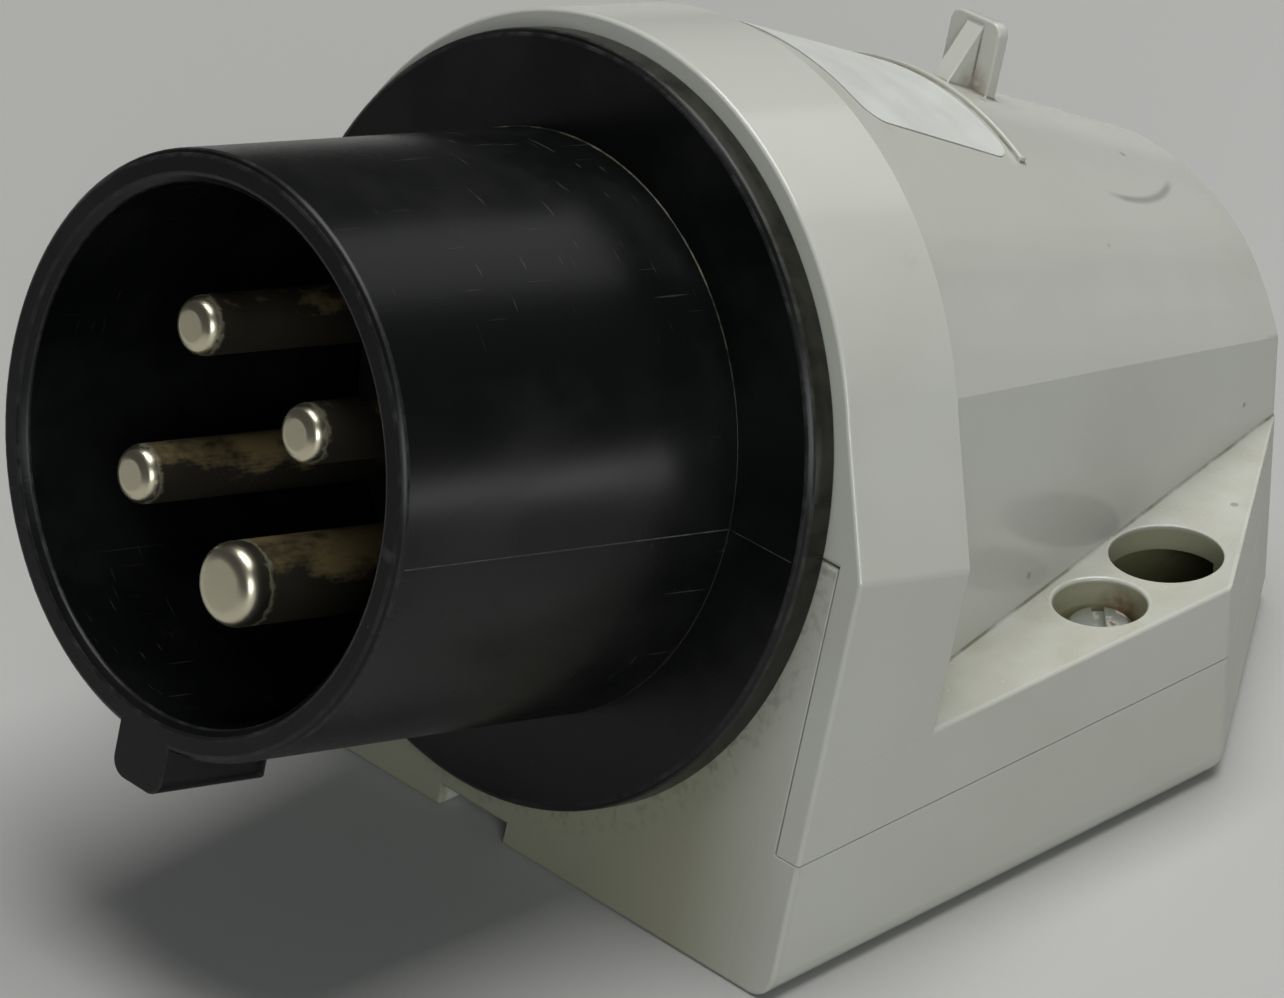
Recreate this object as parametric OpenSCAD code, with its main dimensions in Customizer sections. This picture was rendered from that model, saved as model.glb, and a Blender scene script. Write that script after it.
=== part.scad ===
// Wall mounted pin-and-sleeve appliance inlet, 16 A, three phase pins and an earth pin.
// The wall face is z = 0 and +Z points away from the wall. The sleeve opens towards -Y.
// The origin lies on the wall face, midway between the two wall fixing holes.

/* [Housing] */
// Width of the housing across its side walls
base_w = 75; // [73:0.5:82]
// Length of the housing along the wall, from its front edge to its back wall
base_len = 80; // [77:0.5:95]
// Length of the straight side walls, up to the cut back corners
side_len = 54.2; // [52:0.2:60]
// Width of the back wall between the cut corners
back_w = 37; // [35:0.5:42]
// Height of the seam between base and cover above the wall
seam_z = 12; // [10:0.5:14]
// Height of the screw ledges above the seam
ledge_rise = 7; // [6:0.5:10]
// Thickness of the housing's walls
wall = 2.5; // [2.2:0.1:2.8]
// Thickness of the base's floor
floor_t = 3; // [2.5:0.1:4]
// Rounding of the base's lower edges
edge_r = 2.5; // [1:0.1:2.5]
// Gap left along the seam
seam_gap = 0.3; // [0.2:0.05:0.5]
// Width of the drain notch under the front wall
notch_w = 8; // [5:0.5:12]
// Height of the drain notch
notch_h = 1.8; // [1:0.1:2]
// Depth of the drain notch
notch_d = 6; // [4:0.5:8]

/* [Front and rear body] */
// Backward lean of the front wall
front_tilt = 15; // [13:0.5:17]
// Height of the sleeve's axis along the leaning front wall
axis_up = 37.5; // [36.5:0.5:40]
// Thickness of the front wall
front_wall = 3; // [2.5:0.1:3.5]
// Radius of the arched collar behind the front wall
collar_r = 34.6; // [34:0.1:36]
// Depth of the arched collar
collar_depth = 13; // [11:0.5:15]
// Step from the collar's arch down to the conical body
collar_step = 0.3; // [0.1:0.1:0.8]
// Taper of the conical body towards the back
cone_taper = 12.7; // [11:0.1:13.5]
// Width of the rear body where its sides would meet the front edge
body_front_w = 72.5; // [71.5:0.1:73.5]

/* [Lid lug and rib] */
// Distance of the lug's rear face from the front wall's outer face
lug_back = 43.3; // [42:0.1:48]
// Width of the lug
lug_w = 6; // [4:0.2:7]
// Thickness of the lug's plate
lug_t = 1.4; // [1.2:0.1:2.5]
// Height of the lug's top above the sleeve's axis
lug_top = 34.2; // [33:0.2:37]
// Thickness of the lug's web
web_t = 2; // [1.2:0.1:2.4]
// Length of the lug's web along the body
web_len = 3.7; // [2:0.1:4]
// Distance of the curved rib from the front wall's outer face
rib_back = 36.5; // [34:0.2:37]
// Thickness of the curved rib
rib_t = 1; // [0.8:0.1:1.4]
// Height of the curved rib above the body
rib_h = 0.5; // [0.4:0.1:1]
// Half the angle that the rib spans
rib_half = 28; // [20:1:33]

/* [Sleeve] */
// Outer diameter of the sleeve
sleeve_d = 49.5; // [49:0.1:50.5]
// Inner diameter of the sleeve
sleeve_bore = 44; // [43:0.1:44.6]
// Distance of the sleeve's rim from the front wall
sleeve_len = 39.4; // [38:0.2:44]
// Chamfer inside the rim
rim_chamfer = 0.7; // [0.3:0.1:1]
// Rounding of the outer rim and flange edges
lip_r = 0.5; // [0.3:0.1:0.8]
// Diameter of the flange
flange_d = 66; // [63:0.5:67]
// Thickness of the flange
flange_t = 2.8; // [2.4:0.1:3.4]
// Width of the key rib under the sleeve
key_w = 6.2; // [5:0.1:7]
// Height of the key rib above the sleeve
key_h = 4; // [3:0.1:5]
// Length of the key rib
key_len = 13; // [9:0.5:18]
// Rounding of the key rib's corners
key_r = 1.6; // [1:0.1:2]
// Diameter of the neck in the front wall
neck_d = 52; // [51:0.2:53]
// Clearance of the neck in the front wall's hole
neck_gap = 0.2; // [0.15:0.05:0.3]
// Diameter of the retaining ring behind the front wall
ring_d = 57; // [56:0.2:58]
// Thickness of the retaining ring
ring_t = 5; // [4.5:0.1:6]
// Inner diameter of the flange's seal
seal_in = 55; // [54.4:0.2:56]
// Width of the flange's seal
seal_w = 3; // [2:0.1:3.4]
// Thickness of the flange's seal
seal_t = 1.2; // [1:0.1:1.4]

/* [Contacts] */
// Diameter of the phase pins
phase_d = 5; // [4.8:0.1:5.4]
// Diameter of the earth pin
earth_d = 7; // [6.6:0.1:7.4]
// Diameter of the circle that the pins stand on
pitch_d = 21; // [20.4:0.1:21.6]
// Turn of the earth pin from the key rib
earth_turn = 30; // [20:1:40]
// Distance of the phase pins' tips below the rim
phase_below = 1.7; // [1:0.1:4]
// Distance of the earth pin's tip below the rim
earth_below = 0.3; // [0:0.1:2]
// Length of the rounded pin tips
tip_len = 1.6; // [1:0.1:2.2]
// Width of the step from each pin to its thicker root in the carrier
root_step = 0.4; // [0.3:0.1:0.6]
// Height of the contact carrier's face above the front wall
carrier_face = 2.5; // [1:0.1:6]
// Clearance of the carrier in the sleeve
carrier_gap = 0.15; // [0.1:0.05:0.3]
// Width of the seat ring that stops the carrier
seat_w = 1; // [0.8:0.1:1.2]
// Width of the collars that hold the pins
collar_w = 1.2; // [1:0.1:1.4]
// Thickness of the collars that hold the pins
collar_t = 2; // [1.5:0.1:2.5]
// Diameter of the phase terminals
phase_term_d = 7.6; // [7.2:0.1:8]
// Diameter of the earth terminal
earth_term_d = 9; // [8.4:0.1:9.2]
// Length of the terminals behind the back plate
term_len = 13; // [12:0.5:16]
// Diameter of the wire holes in the terminals
wire_d = 3.8; // [3:0.1:4]
// Depth of the wire holes
wire_depth = 10; // [9.5:0.5:11]
// Distance of the terminal screws from the terminals' ends
screw_from_end = 5; // [4:0.5:6]
// Clearance between metal pieces and the plastic round them
pin_gap = 0.1; // [0.05:0.05:0.2]
// Thickness of the carrier's back plate
plate_t = 3; // [2.5:0.1:4]
// Distance of the back plate's edge inside the retaining ring
plate_inset = 1; // [0.6:0.1:1.4]

/* [Screws and cable entry] */
// Spacing of the wall fixing holes
fix_spacing = 59.4; // [58.4:0.2:60.4]
// Distance of the wall fixing holes from the front edge
fix_setback = 54.2; // [52.8:0.2:55]
// Diameter of the wall fixing holes
fix_d = 5.3; // [4.5:0.1:6]
// Diameter of the access holes in the ledges
access_d = 10; // [8:0.2:10.2]
// Distance of the cover screws inside the middle of the ledges
screw_inset = 0.3; // [0:0.1:0.4]
// Distance of the cover screws from the front edge
cover_screw_setback = 44; // [42:0.2:44.4]
// Diameter of the wells for the cover screws
well_d = 8.1; // [7.6:0.1:8.2]
// Depth of the wells
well_depth = 4.6; // [3.6:0.1:5]
// Outer diameter of the screw bosses
boss_d = 9.8; // [9.4:0.1:10]
// Diameter of the cover screws' shanks
cover_screw_d = 3.9; // [3.4:0.1:4.2]
// Diameter of the cover screws' heads
cover_head_d = 7; // [6.4:0.1:7.2]
// Height of the cover screws' heads
cover_head_h = 2.2; // [1.6:0.1:2.4]
// Diameter of the small screws' shanks
small_screw_d = 2.9; // [2.4:0.1:3]
// Diameter of the small screws' heads
small_head_d = 5.2; // [4.8:0.1:5.4]
// Height of the small screws' heads
small_head_h = 2; // [1.6:0.1:2.4]
// Length of the small screws' shanks
small_screw_len = 6.5; // [6:0.5:7.5]
// Width of the screwdriver slots
slot_w = 1; // [0.6:0.1:1.2]
// Depth of the screwdriver slots
slot_depth = 1; // [0.6:0.1:1.2]
// Clearance of screws in their holes
screw_gap = 0.15; // [0.1:0.05:0.25]
// Height of the cover's seal strip
strip_t = 1.5; // [1.2:0.1:1.8]
// Thickness of the lip outside the cover's seal strip
strip_lip = 1; // [0.8:0.1:1.2]
// Diameter of the cable entry in the back wall
entry_d = 18; // [14:0.5:19]
// Height of the cable entry above the seam
entry_rise = 12; // [11.5:0.5:13]
// Width of the grommet's flanges beyond the cable entry
grommet_flange = 2; // [1.5:0.1:2.2]
// Thickness of the grommet's flanges
grommet_t = 1.8; // [1.4:0.1:2.2]
// Height of the grommet's cone outside its flange
grommet_cone = 4; // [3:0.5:6]
// Thickness of the grommet's rubber
grommet_wall = 1.4; // [1:0.1:1.6]

/* [Hidden] */
$fn = 96;
// Longer than any piece, for cutting solids and half spaces
reach = 400;
// Overlap of a cutting solid beyond the face it cuts
cut = 1;

half_w = base_w / 2;
front_y = -fix_setback;
back_y = front_y + base_len;
ledge_z = seam_z + ledge_rise;
// Angle at which each side of the body runs in towards the back
body_taper = atan2((body_front_w - back_w) / 2, base_len);
// Angle between a side wall and the cut back corner
corner_turn = atan2((base_w - back_w) / 2, base_len - side_len);
// Angle at which the collar's flanks touch its arch
flank_turn = acos(collar_r / half_w);
// Depth by which the flanks' upper edges lie inside the arch
flank_sink = 0.05;
// Width of the cover's strips beside the front panel, a little over the wall behind them
front_strip = wall + seam_gap / 2;
panel_half = half_w - front_strip - seam_gap;
cone_r = collar_r - collar_step;
cover_screw_y = front_y + cover_screw_setback;
// The cover screws stand near the middle of the ledges, between the rear body and the side walls
cover_screw_x = (body_half(cover_screw_y) + half_w) / 2 - screw_inset;
entry_z = seam_z + entry_rise;

sleeve_r = sleeve_d / 2;
bore_r = sleeve_bore / 2;
flange_r = flange_d / 2;
neck_r = neck_d / 2;
ring_r = ring_d / 2;
seat_r = bore_r + seat_w;
seal_in_r = seal_in / 2;
// Front and rear faces of the retaining ring, measured along the sleeve's axis
ring_front = -front_wall - seam_gap;
ring_back = ring_front - ring_t;
plate_back = ring_back - plate_t;
term_end = plate_back - term_len;
pitch_r = pitch_d / 2;
earth_angle = -90 + earth_turn;
phase_angles = [earth_angle + 90, earth_angle + 180, earth_angle + 270];
phase_tip = sleeve_len - phase_below;
earth_tip = sleeve_len - earth_below;
plate_screw_r = (seat_r + ring_r) / 2;
plate_screw_angles = [90, 210, 330];

body_grey = "#b9bab2";
sleeve_black = "#24252a";
carrier_black = "#1d1d20";
rubber_black = "#2c2c2c";
nickel = "#b8b3a4";
zinc = "#a9a79c";

// Frames and half spaces

// Puts children on the sleeve's axis: z runs out of the sleeve, y up along the front wall
module on_axis() {
    translate([0, front_y, 0])
        rotate([90 - front_tilt, 0, 0])
            translate([0, axis_up, 0])
                children();
}

// All space behind a plane parallel to the front wall, at a depth behind its outer face
module behind_front(depth) {
    on_axis()
        translate([-reach, -reach, -2 * reach - depth])
            cube([2 * reach, 2 * reach, 2 * reach]);
}

// All space inside a vertical wall plane whose lower edge is rounded
module inside_rounded_wall(corner, turn) {
    translate(corner)
        rotate([90, 0, turn])
            translate([0, 0, -reach])
                linear_extrude(2 * reach) {
                    translate([-reach, edge_r])
                        square([reach, reach]);
                    translate([-reach, 0])
                        square([reach - edge_r, reach]);
                    translate([-edge_r, edge_r])
                        circle(edge_r);
                }
}

// Half the width of the rear body at a distance along the wall
function body_half(y) = back_w / 2 + (back_y - y) * tan(body_taper);

// Plan of the housing, drawn in by an inset
module housing_plan(inset) {
    x_side = half_w - inset;
    y_side = front_y + side_len - inset * tan(corner_turn / 2);
    x_back = back_w / 2 - inset * tan(45 - corner_turn / 2);
    y_back = back_y - inset;
    y_front = front_y - wall;
    polygon([[-x_side, y_front], [x_side, y_front], [x_side, y_side],
             [x_back, y_back], [-x_back, y_back], [-x_side, y_side]]);
}

// Plan of the rear body between its converging sides, drawn in by an inset
module body_plan(inset) {
    y_front = front_y - wall;
    y_back = back_y - inset;
    side_inset = inset / cos(body_taper);
    x_front = body_half(y_front) - side_inset;
    x_back = body_half(y_back) - side_inset;
    polygon([[-x_front, y_front], [x_front, y_front], [x_back, y_back], [-x_back, y_back]]);
}

// Section of the arched collar: an arch whose flanks lean out past the side walls
module collar_section(inset) {
    r = collar_r - inset;
    x_touch = (r - flank_sink) * cos(flank_turn);
    y_touch = (r - flank_sink) * sin(flank_turn);
    x_far = x_touch + half_w * sin(flank_turn);
    y_far = y_touch - half_w * cos(flank_turn);
    circle(r);
    polygon([[-x_far, -reach], [x_far, -reach], [x_far, y_far], [x_touch, y_touch],
             [-x_touch, y_touch], [-x_far, y_far]]);
}

// The collar's section run back along the axis between two depths
module collar_block(inset, from, to) {
    on_axis()
        translate([0, 0, -to])
            linear_extrude(to - from)
                collar_section(inset);
}

// The cone round the sleeve's axis that tops the rear body
module body_cone(inset) {
    r_front = cone_r - inset / cos(cone_taper);
    length = (cone_r - base_w / 5) / tan(cone_taper);
    on_axis()
        translate([0, 0, -collar_depth])
            rotate([180, 0, 0])
                cylinder(h = length, r1 = r_front, r2 = r_front - length * tan(cone_taper));
}

// All space on the wall's side of the sleeve's axis
module below_axis() {
    on_axis()
        translate([-reach, -reach, -reach])
            cube([2 * reach, reach, 2 * reach]);
}

// All space between the wall and a height above it
module below(height) {
    translate([-reach, -reach, -cut])
        cube([2 * reach, 2 * reach, height + cut]);
}

// All space above a height over the wall
module above(height) {
    translate([-reach, -reach, height])
        cube([2 * reach, 2 * reach, reach]);
}

// Places a child at both mirrored places
module both_sides(x, y) {
    for (side = [-1, 1])
        translate([side * x, y, 0])
            children();
}

// Screw with a slotted head, its shank pointing down from z = 0
module slotted_screw(head_d, head_h, shank_d, length) {
    difference() {
        union() {
            cylinder(h = head_h - slot_depth / 2, d = head_d);
            translate([0, 0, head_h - slot_depth / 2])
                cylinder(h = slot_depth / 2, d1 = head_d, d2 = head_d - slot_depth);
            translate([0, 0, -length])
                cylinder(h = length + head_h / 2, d = shank_d);
        }
        translate([-head_d, -slot_w / 2, head_h - slot_depth])
            cube([2 * head_d, slot_w, slot_depth + cut]);
    }
}

// Radius of the body's cone at a depth behind the front wall's outer face
function cone_at(depth) = cone_r - (depth - collar_depth) * tan(cone_taper);

// Screw boss with a web to the rear body's wall, for base and cover alike
module boss(side) {
    x_wall = body_half(cover_screw_y) - wall;
    translate([side * cover_screw_x, cover_screw_y, 0])
        cylinder(h = ledge_z, d = boss_d);
    translate([side * (x_wall + cover_screw_x) / 2, cover_screw_y, ledge_z / 2])
        cube([cover_screw_x - x_wall, boss_d * 0.8, ledge_z], center = true);
}

// Both bosses, kept inside the housing's outer faces
module bosses() {
    intersection() {
        union() {
            boss(-1);
            boss(1);
        }
        linear_extrude(ledge_z)
            housing_plan(strip_lip);
    }
}

// Pockets beside the rear body, seen from above
module side_pocket_plan() {
    difference() {
        housing_plan(wall);
        body_plan(0);
    }
}

// The base's outer shape, its lower edges rounded
module base_block() {
    intersection() {
        above(0);
        below(seam_z - seam_gap);
        inside_rounded_wall([half_w, 0, 0], 0);
        inside_rounded_wall([-half_w, 0, 0], 180);
        inside_rounded_wall([half_w, front_y + side_len, 0], corner_turn);
        inside_rounded_wall([-half_w, front_y + side_len, 0], 180 - corner_turn);
        inside_rounded_wall([0, back_y, 0], 90);
        behind_front(0);
    }
}

// Base: floor, side walls, lower half of the front wall and screw bosses in one moulding
module base() {
    color(body_grey)
        difference() {
            union() {
                difference() {
                    base_block();
                    intersection() {
                        translate([0, 0, floor_t])
                            linear_extrude(seam_z)
                                side_pocket_plan();
                        behind_front(front_wall);
                    }
                }
                intersection() {
                    on_axis()
                        translate([-panel_half, -reach, -front_wall])
                            cube([2 * panel_half, reach, front_wall]);
                    above(floor_t / 2);
                }
                intersection() {
                    bosses();
                    above(floor_t / 2);
                    below(seam_z);
                }
            }
            intersection() {
                translate([0, 0, floor_t])
                    linear_extrude(seam_z)
                        body_plan(wall);
                behind_front(front_wall);
            }
            intersection() {
                translate([0, 0, seam_z - strip_t])
                    linear_extrude(seam_z)
                        body_plan(strip_lip);
                behind_front(front_wall);
            }
            on_axis()
                translate([0, 0, -front_wall - cut])
                    cylinder(h = front_wall + 2 * cut, r = neck_r + neck_gap);
            both_sides(fix_spacing / 2, 0)
                translate([0, 0, -cut])
                    cylinder(h = floor_t + 2 * cut, d = fix_d);
            both_sides(cover_screw_x, cover_screw_y)
                translate([0, 0, floor_t])
                    cylinder(h = seam_z, d = cover_screw_d + 2 * screw_gap);
            translate([-notch_w / 2, front_y - cut, -cut])
                cube([notch_w, notch_d + cut, notch_h + cut]);
        }
}

// Space inside the cover, over the wiring space of the base
module cover_space() {
    intersection() {
        linear_extrude(reach)
            body_plan(wall);
        union() {
            body_cone(wall);
            below_axis();
            on_axis()
                translate([0, 0, -collar_depth - cut])
                    cylinder(h = collar_depth, r = collar_r - wall);
        }
        behind_front(front_wall);
    }
}

// Pockets under the ledges and inside the collar's corners
module cover_pockets() {
    intersection() {
        linear_extrude(reach)
            side_pocket_plan();
        union() {
            below(ledge_z - wall);
            collar_block(wall, front_wall, collar_depth - wall);
        }
        behind_front(front_wall);
    }
}

// Upright lug behind the rib, a plate with a web in front
module lug() {
    foot = cone_at(lug_back) - wall / 2;
    front = -lug_back + lug_t;
    corner = lug_w / 5;
    on_axis() {
        translate([0, 0, -lug_back])
            linear_extrude(lug_t) {
                translate([-lug_w / 2, foot])
                    square([lug_w, lug_top - corner - foot]);
                translate([-lug_w / 2 + corner, foot])
                    square([lug_w - 2 * corner, lug_top - foot]);
                translate([-lug_w / 2 + corner, lug_top - corner])
                    circle(corner);
                translate([lug_w / 2 - corner, lug_top - corner])
                    circle(corner);
            }
        translate([-web_t / 2, 0, 0])
            rotate([90, 0, 90])
                linear_extrude(web_t)
                    polygon([[foot, front - lug_t / 2], [lug_top - corner / 2, front - lug_t / 2],
                             [lug_top - corner / 2, front], [foot + wall / 2, front + web_len],
                             [foot, front + web_len]]);
    }
}

// Curved rib over the body, in front of the lug
module rib() {
    on_axis()
        rotate([0, 0, 90 - rib_half])
            rotate_extrude(angle = 2 * rib_half)
                polygon([[cone_at(rib_back) - wall / 2, -rib_back],
                         [cone_at(rib_back) + rib_h, -rib_back],
                         [cone_at(rib_back - rib_t) + rib_h, rib_t - rib_back],
                         [cone_at(rib_back) - wall / 2, rib_t - rib_back]]);
}

// Cover: arched collar, tapering body and screw ledges in one moulding
module cover() {
    color(body_grey)
        difference() {
            union() {
                difference() {
                    intersection() {
                        union() {
                            collar_block(0, -cut, collar_depth);
                            below(ledge_z);
                            intersection() {
                                linear_extrude(reach)
                                    body_plan(0);
                                union() {
                                    body_cone(0);
                                    intersection() {
                                        below_axis();
                                        behind_front(0);
                                    }
                                }
                            }
                        }
                        linear_extrude(reach)
                            housing_plan(0);
                        behind_front(0);
                        above(seam_z);
                    }
                    cover_pockets();
                }
                intersection() {
                    bosses();
                    above(seam_z);
                }
                lug();
                rib();
            }
            cover_space();
            on_axis()
                translate([-panel_half - seam_gap, -reach, -front_wall - seam_gap])
                    cube([2 * (panel_half + seam_gap), reach + seam_gap, front_wall + seam_gap + cut]);
            on_axis()
                translate([0, 0, -front_wall - cut])
                    cylinder(h = front_wall + 2 * cut, r = neck_r + neck_gap);
            both_sides(fix_spacing / 2, 0)
                translate([0, 0, seam_z - cut])
                    cylinder(h = ledge_rise + 2 * cut, d = access_d);
            both_sides(cover_screw_x, cover_screw_y)
                translate([0, 0, ledge_z - well_depth])
                    cylinder(h = well_depth + cut, d = well_d);
            both_sides(cover_screw_x, cover_screw_y)
                translate([0, 0, seam_z - cut])
                    cylinder(h = ledge_rise + cut, d = cover_screw_d + 2 * screw_gap);
            translate([0, back_y + cut, entry_z])
                rotate([90, 0, 0])
                    cylinder(h = wall + 2 * cut, d = entry_d);
        }
}

// Cover seal: rubber strip round the wiring space, between base and cover
module cover_seal() {
    color(rubber_black)
        intersection() {
            translate([0, 0, seam_z - strip_t])
                linear_extrude(strip_t)
                    difference() {
                        body_plan(strip_lip + pin_gap);
                        body_plan(wall);
                    }
            behind_front(front_wall + seam_gap);
        }
}

// Key rib under the sleeve, with rounded corners and a rounded inner end
module key_rib() {
    top = sleeve_r + key_h;
    foot = (sleeve_r + bore_r) / 2;
    half = key_w / 2;
    intersection() {
        translate([0, 0, sleeve_len - key_len])
            linear_extrude(key_len) {
                translate([-half, key_r - top])
                    square([key_w, top - key_r - foot]);
                translate([key_r - half, -top])
                    square([key_w - 2 * key_r, top - foot]);
                translate([key_r - half, key_r - top])
                    circle(key_r);
                translate([half - key_r, key_r - top])
                    circle(key_r);
            }
        rotate([90, 0, 0])
            linear_extrude(2 * top) {
                translate([-half, sleeve_len - key_len + half])
                    square([key_w, key_len - half]);
                translate([0, sleeve_len - key_len + half])
                    circle(half);
            }
    }
}

// Sleeve: protective sleeve, key rib, flange and retaining ring in one moulding
module sleeve() {
    color(sleeve_black)
        on_axis()
            difference() {
                union() {
                    rotate_extrude()
                        polygon([[bore_r + rim_chamfer, sleeve_len], [sleeve_r - lip_r, sleeve_len],
                                 [sleeve_r, sleeve_len - lip_r], [sleeve_r, flange_t],
                                 [flange_r - lip_r, flange_t], [flange_r, flange_t - lip_r],
                                 [flange_r, 0], [neck_r, 0], [neck_r, ring_front],
                                 [ring_r, ring_front], [ring_r, ring_back], [seat_r, ring_back],
                                 [seat_r, 0], [bore_r, 0], [bore_r, sleeve_len - rim_chamfer]]);
                    key_rib();
                }
                difference() {
                    translate([0, 0, -cut])
                        cylinder(h = seal_t + cut, r = seal_in_r + seal_w + pin_gap);
                    translate([0, 0, -2 * cut])
                        cylinder(h = seal_t + 3 * cut, r = seal_in_r - pin_gap);
                    translate([0, 0, -2 * cut])
                        cylinder(h = cut, r = flange_r);
                }
                for (angle = plate_screw_angles)
                    rotate([0, 0, angle])
                        translate([plate_screw_r, 0, ring_back - cut])
                            cylinder(h = small_screw_len - plate_t + 2 * screw_gap + cut,
                                     d = small_screw_d + 2 * pin_gap);
            }
}

// Flange seal: flat rubber ring in the groove behind the flange
module flange_seal() {
    color(rubber_black)
        on_axis()
            difference() {
                cylinder(h = seal_t, r = seal_in_r + seal_w);
                translate([0, 0, -cut])
                    cylinder(h = seal_t + 2 * cut, r = seal_in_r);
            }
}

// Hole for one pin and its collar in the carrier
module pin_hole(angle, d, term_d) {
    rotate([0, 0, angle])
        translate([pitch_r, 0, 0]) {
            translate([0, 0, ring_back - cut])
                cylinder(h = carrier_face - ring_back + 2 * cut, d = d + 2 * root_step + 2 * pin_gap);
            translate([0, 0, ring_back - cut])
                cylinder(h = collar_t + cut, d = term_d + 2 * collar_w + 2 * pin_gap);
        }
}

// Contact carrier: insulating disc that the pins stand in
module contact_carrier() {
    color(carrier_black)
        on_axis()
            difference() {
                union() {
                    translate([0, 0, ring_back])
                        cylinder(h = carrier_face - ring_back, r = bore_r - carrier_gap);
                    translate([0, 0, ring_back])
                        cylinder(h = -ring_back, r = seat_r - carrier_gap);
                }
                for (angle = phase_angles)
                    pin_hole(angle, phase_d, phase_term_d);
                pin_hole(earth_angle, earth_d, earth_term_d);
            }
}

// Carrier back plate: disc screwed to the retaining ring, it holds carrier and pins
module carrier_back_plate() {
    color(carrier_black)
        on_axis()
            difference() {
                translate([0, 0, plate_back])
                    cylinder(h = plate_t, r = ring_r - plate_inset);
                for (angle = phase_angles)
                    rotate([0, 0, angle])
                        translate([pitch_r, 0, plate_back - cut])
                            cylinder(h = plate_t + 2 * cut, d = phase_term_d + 2 * pin_gap);
                rotate([0, 0, earth_angle])
                    translate([pitch_r, 0, plate_back - cut])
                        cylinder(h = plate_t + 2 * cut, d = earth_term_d + 2 * pin_gap);
                for (angle = plate_screw_angles)
                    rotate([0, 0, angle])
                        translate([plate_screw_r, 0, plate_back - cut])
                            cylinder(h = plate_t + 2 * cut, d = small_screw_d + 2 * screw_gap);
            }
}

// Carrier screws: three screws that hold the back plate to the retaining ring
module carrier_screws() {
    color(zinc)
        on_axis()
            for (angle = plate_screw_angles)
                rotate([0, 0, angle])
                    translate([plate_screw_r, 0, plate_back])
                        rotate([180, 0, 0])
                            slotted_screw(small_head_d, small_head_h, small_screw_d, small_screw_len);
}

// One turned pin with its collar and its screw terminal
module contact_pin(angle, d, term_d, tip) {
    r = d / 2;
    term_r = term_d / 2;
    on_axis()
        rotate([0, 0, angle])
            translate([pitch_r, 0, 0])
                difference() {
                    rotate_extrude()
                        polygon([[0, tip], [r * 0.72, tip], [r * 0.92, tip - tip_len * 0.4],
                                 [r, tip - tip_len], [r, carrier_face], [r + root_step, carrier_face],
                                 [r + root_step, ring_back + collar_t],
                                 [term_r + collar_w, ring_back + collar_t],
                                 [term_r + collar_w, ring_back], [term_r, ring_back],
                                 [term_r, term_end], [0, term_end]]);
                    translate([0, 0, term_end - cut])
                        cylinder(h = wire_depth + cut, d = wire_d);
                    translate([0, 0, term_end + screw_from_end])
                        rotate([0, 90, 0])
                            cylinder(h = term_d, d = small_screw_d + 2 * pin_gap);
                }
}

// Pin L1: the phase pin to the right of the sleeve's middle
module pin_l1() {
    color(nickel)
        contact_pin(phase_angles[0], phase_d, phase_term_d, phase_tip);
}

// Pin L2: the upper phase pin
module pin_l2() {
    color(nickel)
        contact_pin(phase_angles[1], phase_d, phase_term_d, phase_tip);
}

// Pin L3: the phase pin to the left of the sleeve's middle
module pin_l3() {
    color(nickel)
        contact_pin(phase_angles[2], phase_d, phase_term_d, phase_tip);
}

// Earth pin: thicker and longer than the phase pins, so that it makes contact first
module pin_earth() {
    color(nickel)
        contact_pin(earth_angle, earth_d, earth_term_d, earth_tip);
}

// One terminal screw, pointing in towards its pin
module terminal_screw(angle, term_d) {
    on_axis()
        rotate([0, 0, angle])
            translate([pitch_r + term_d / 2 + pin_gap, 0, term_end + screw_from_end])
                rotate([0, 90, 0])
                    slotted_screw(small_head_d, small_head_h, small_screw_d,
                                  (term_d - wire_d) / 2 + 3 * pin_gap);
}

// Phase terminal screws: one for each of the three phase pins
module phase_terminal_screws() {
    color(zinc)
        for (angle = phase_angles)
            terminal_screw(angle, phase_term_d);
}

// Earth terminal screw
module earth_terminal_screw() {
    color(zinc)
        terminal_screw(earth_angle, earth_term_d);
}

// Cover screws: two screws sunk in the ledges, into the base's bosses
module cover_screws() {
    color(zinc)
        both_sides(cover_screw_x, cover_screw_y)
            translate([0, 0, ledge_z - well_depth])
                slotted_screw(cover_head_d, cover_head_h, cover_screw_d,
                              ledge_z - well_depth - floor_t - screw_gap);
}

// Cable grommet: rubber membrane grommet in the back wall, its cone outside
module cable_grommet() {
    r = entry_d / 2;
    top = wall + grommet_t + grommet_cone;
    color(rubber_black)
        translate([0, back_y - wall, entry_z])
            rotate([-90, 0, 0])
                rotate_extrude()
                    polygon([[r - grommet_wall, -grommet_t], [r + grommet_flange, -grommet_t],
                             [r + grommet_flange, 0], [r - pin_gap, 0], [r - pin_gap, wall],
                             [r + grommet_flange, wall], [r + grommet_flange, wall + grommet_t],
                             [r - pin_gap, wall + grommet_t], [r - grommet_cone / 2, top],
                             [0, top], [0, top - grommet_wall],
                             [r - grommet_cone / 2 - grommet_wall, top - grommet_wall],
                             [r - grommet_wall - pin_gap, wall + grommet_t]]);
}

base();
cover();
cover_seal();
sleeve();
flange_seal();
contact_carrier();
carrier_back_plate();
carrier_screws();
pin_l1();
pin_l2();
pin_l3();
pin_earth();
phase_terminal_screws();
earth_terminal_screw();
cover_screws();
cable_grommet();
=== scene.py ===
"""Looks of a wall mounted pin-and-sleeve appliance inlet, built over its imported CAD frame."""

import math
from functools import partial

import bmesh
import bpy
import numpy as np
from bpy.props import FloatProperty, FloatVectorProperty, IntProperty, PointerProperty
from mathutils import Matrix, Vector


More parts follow.
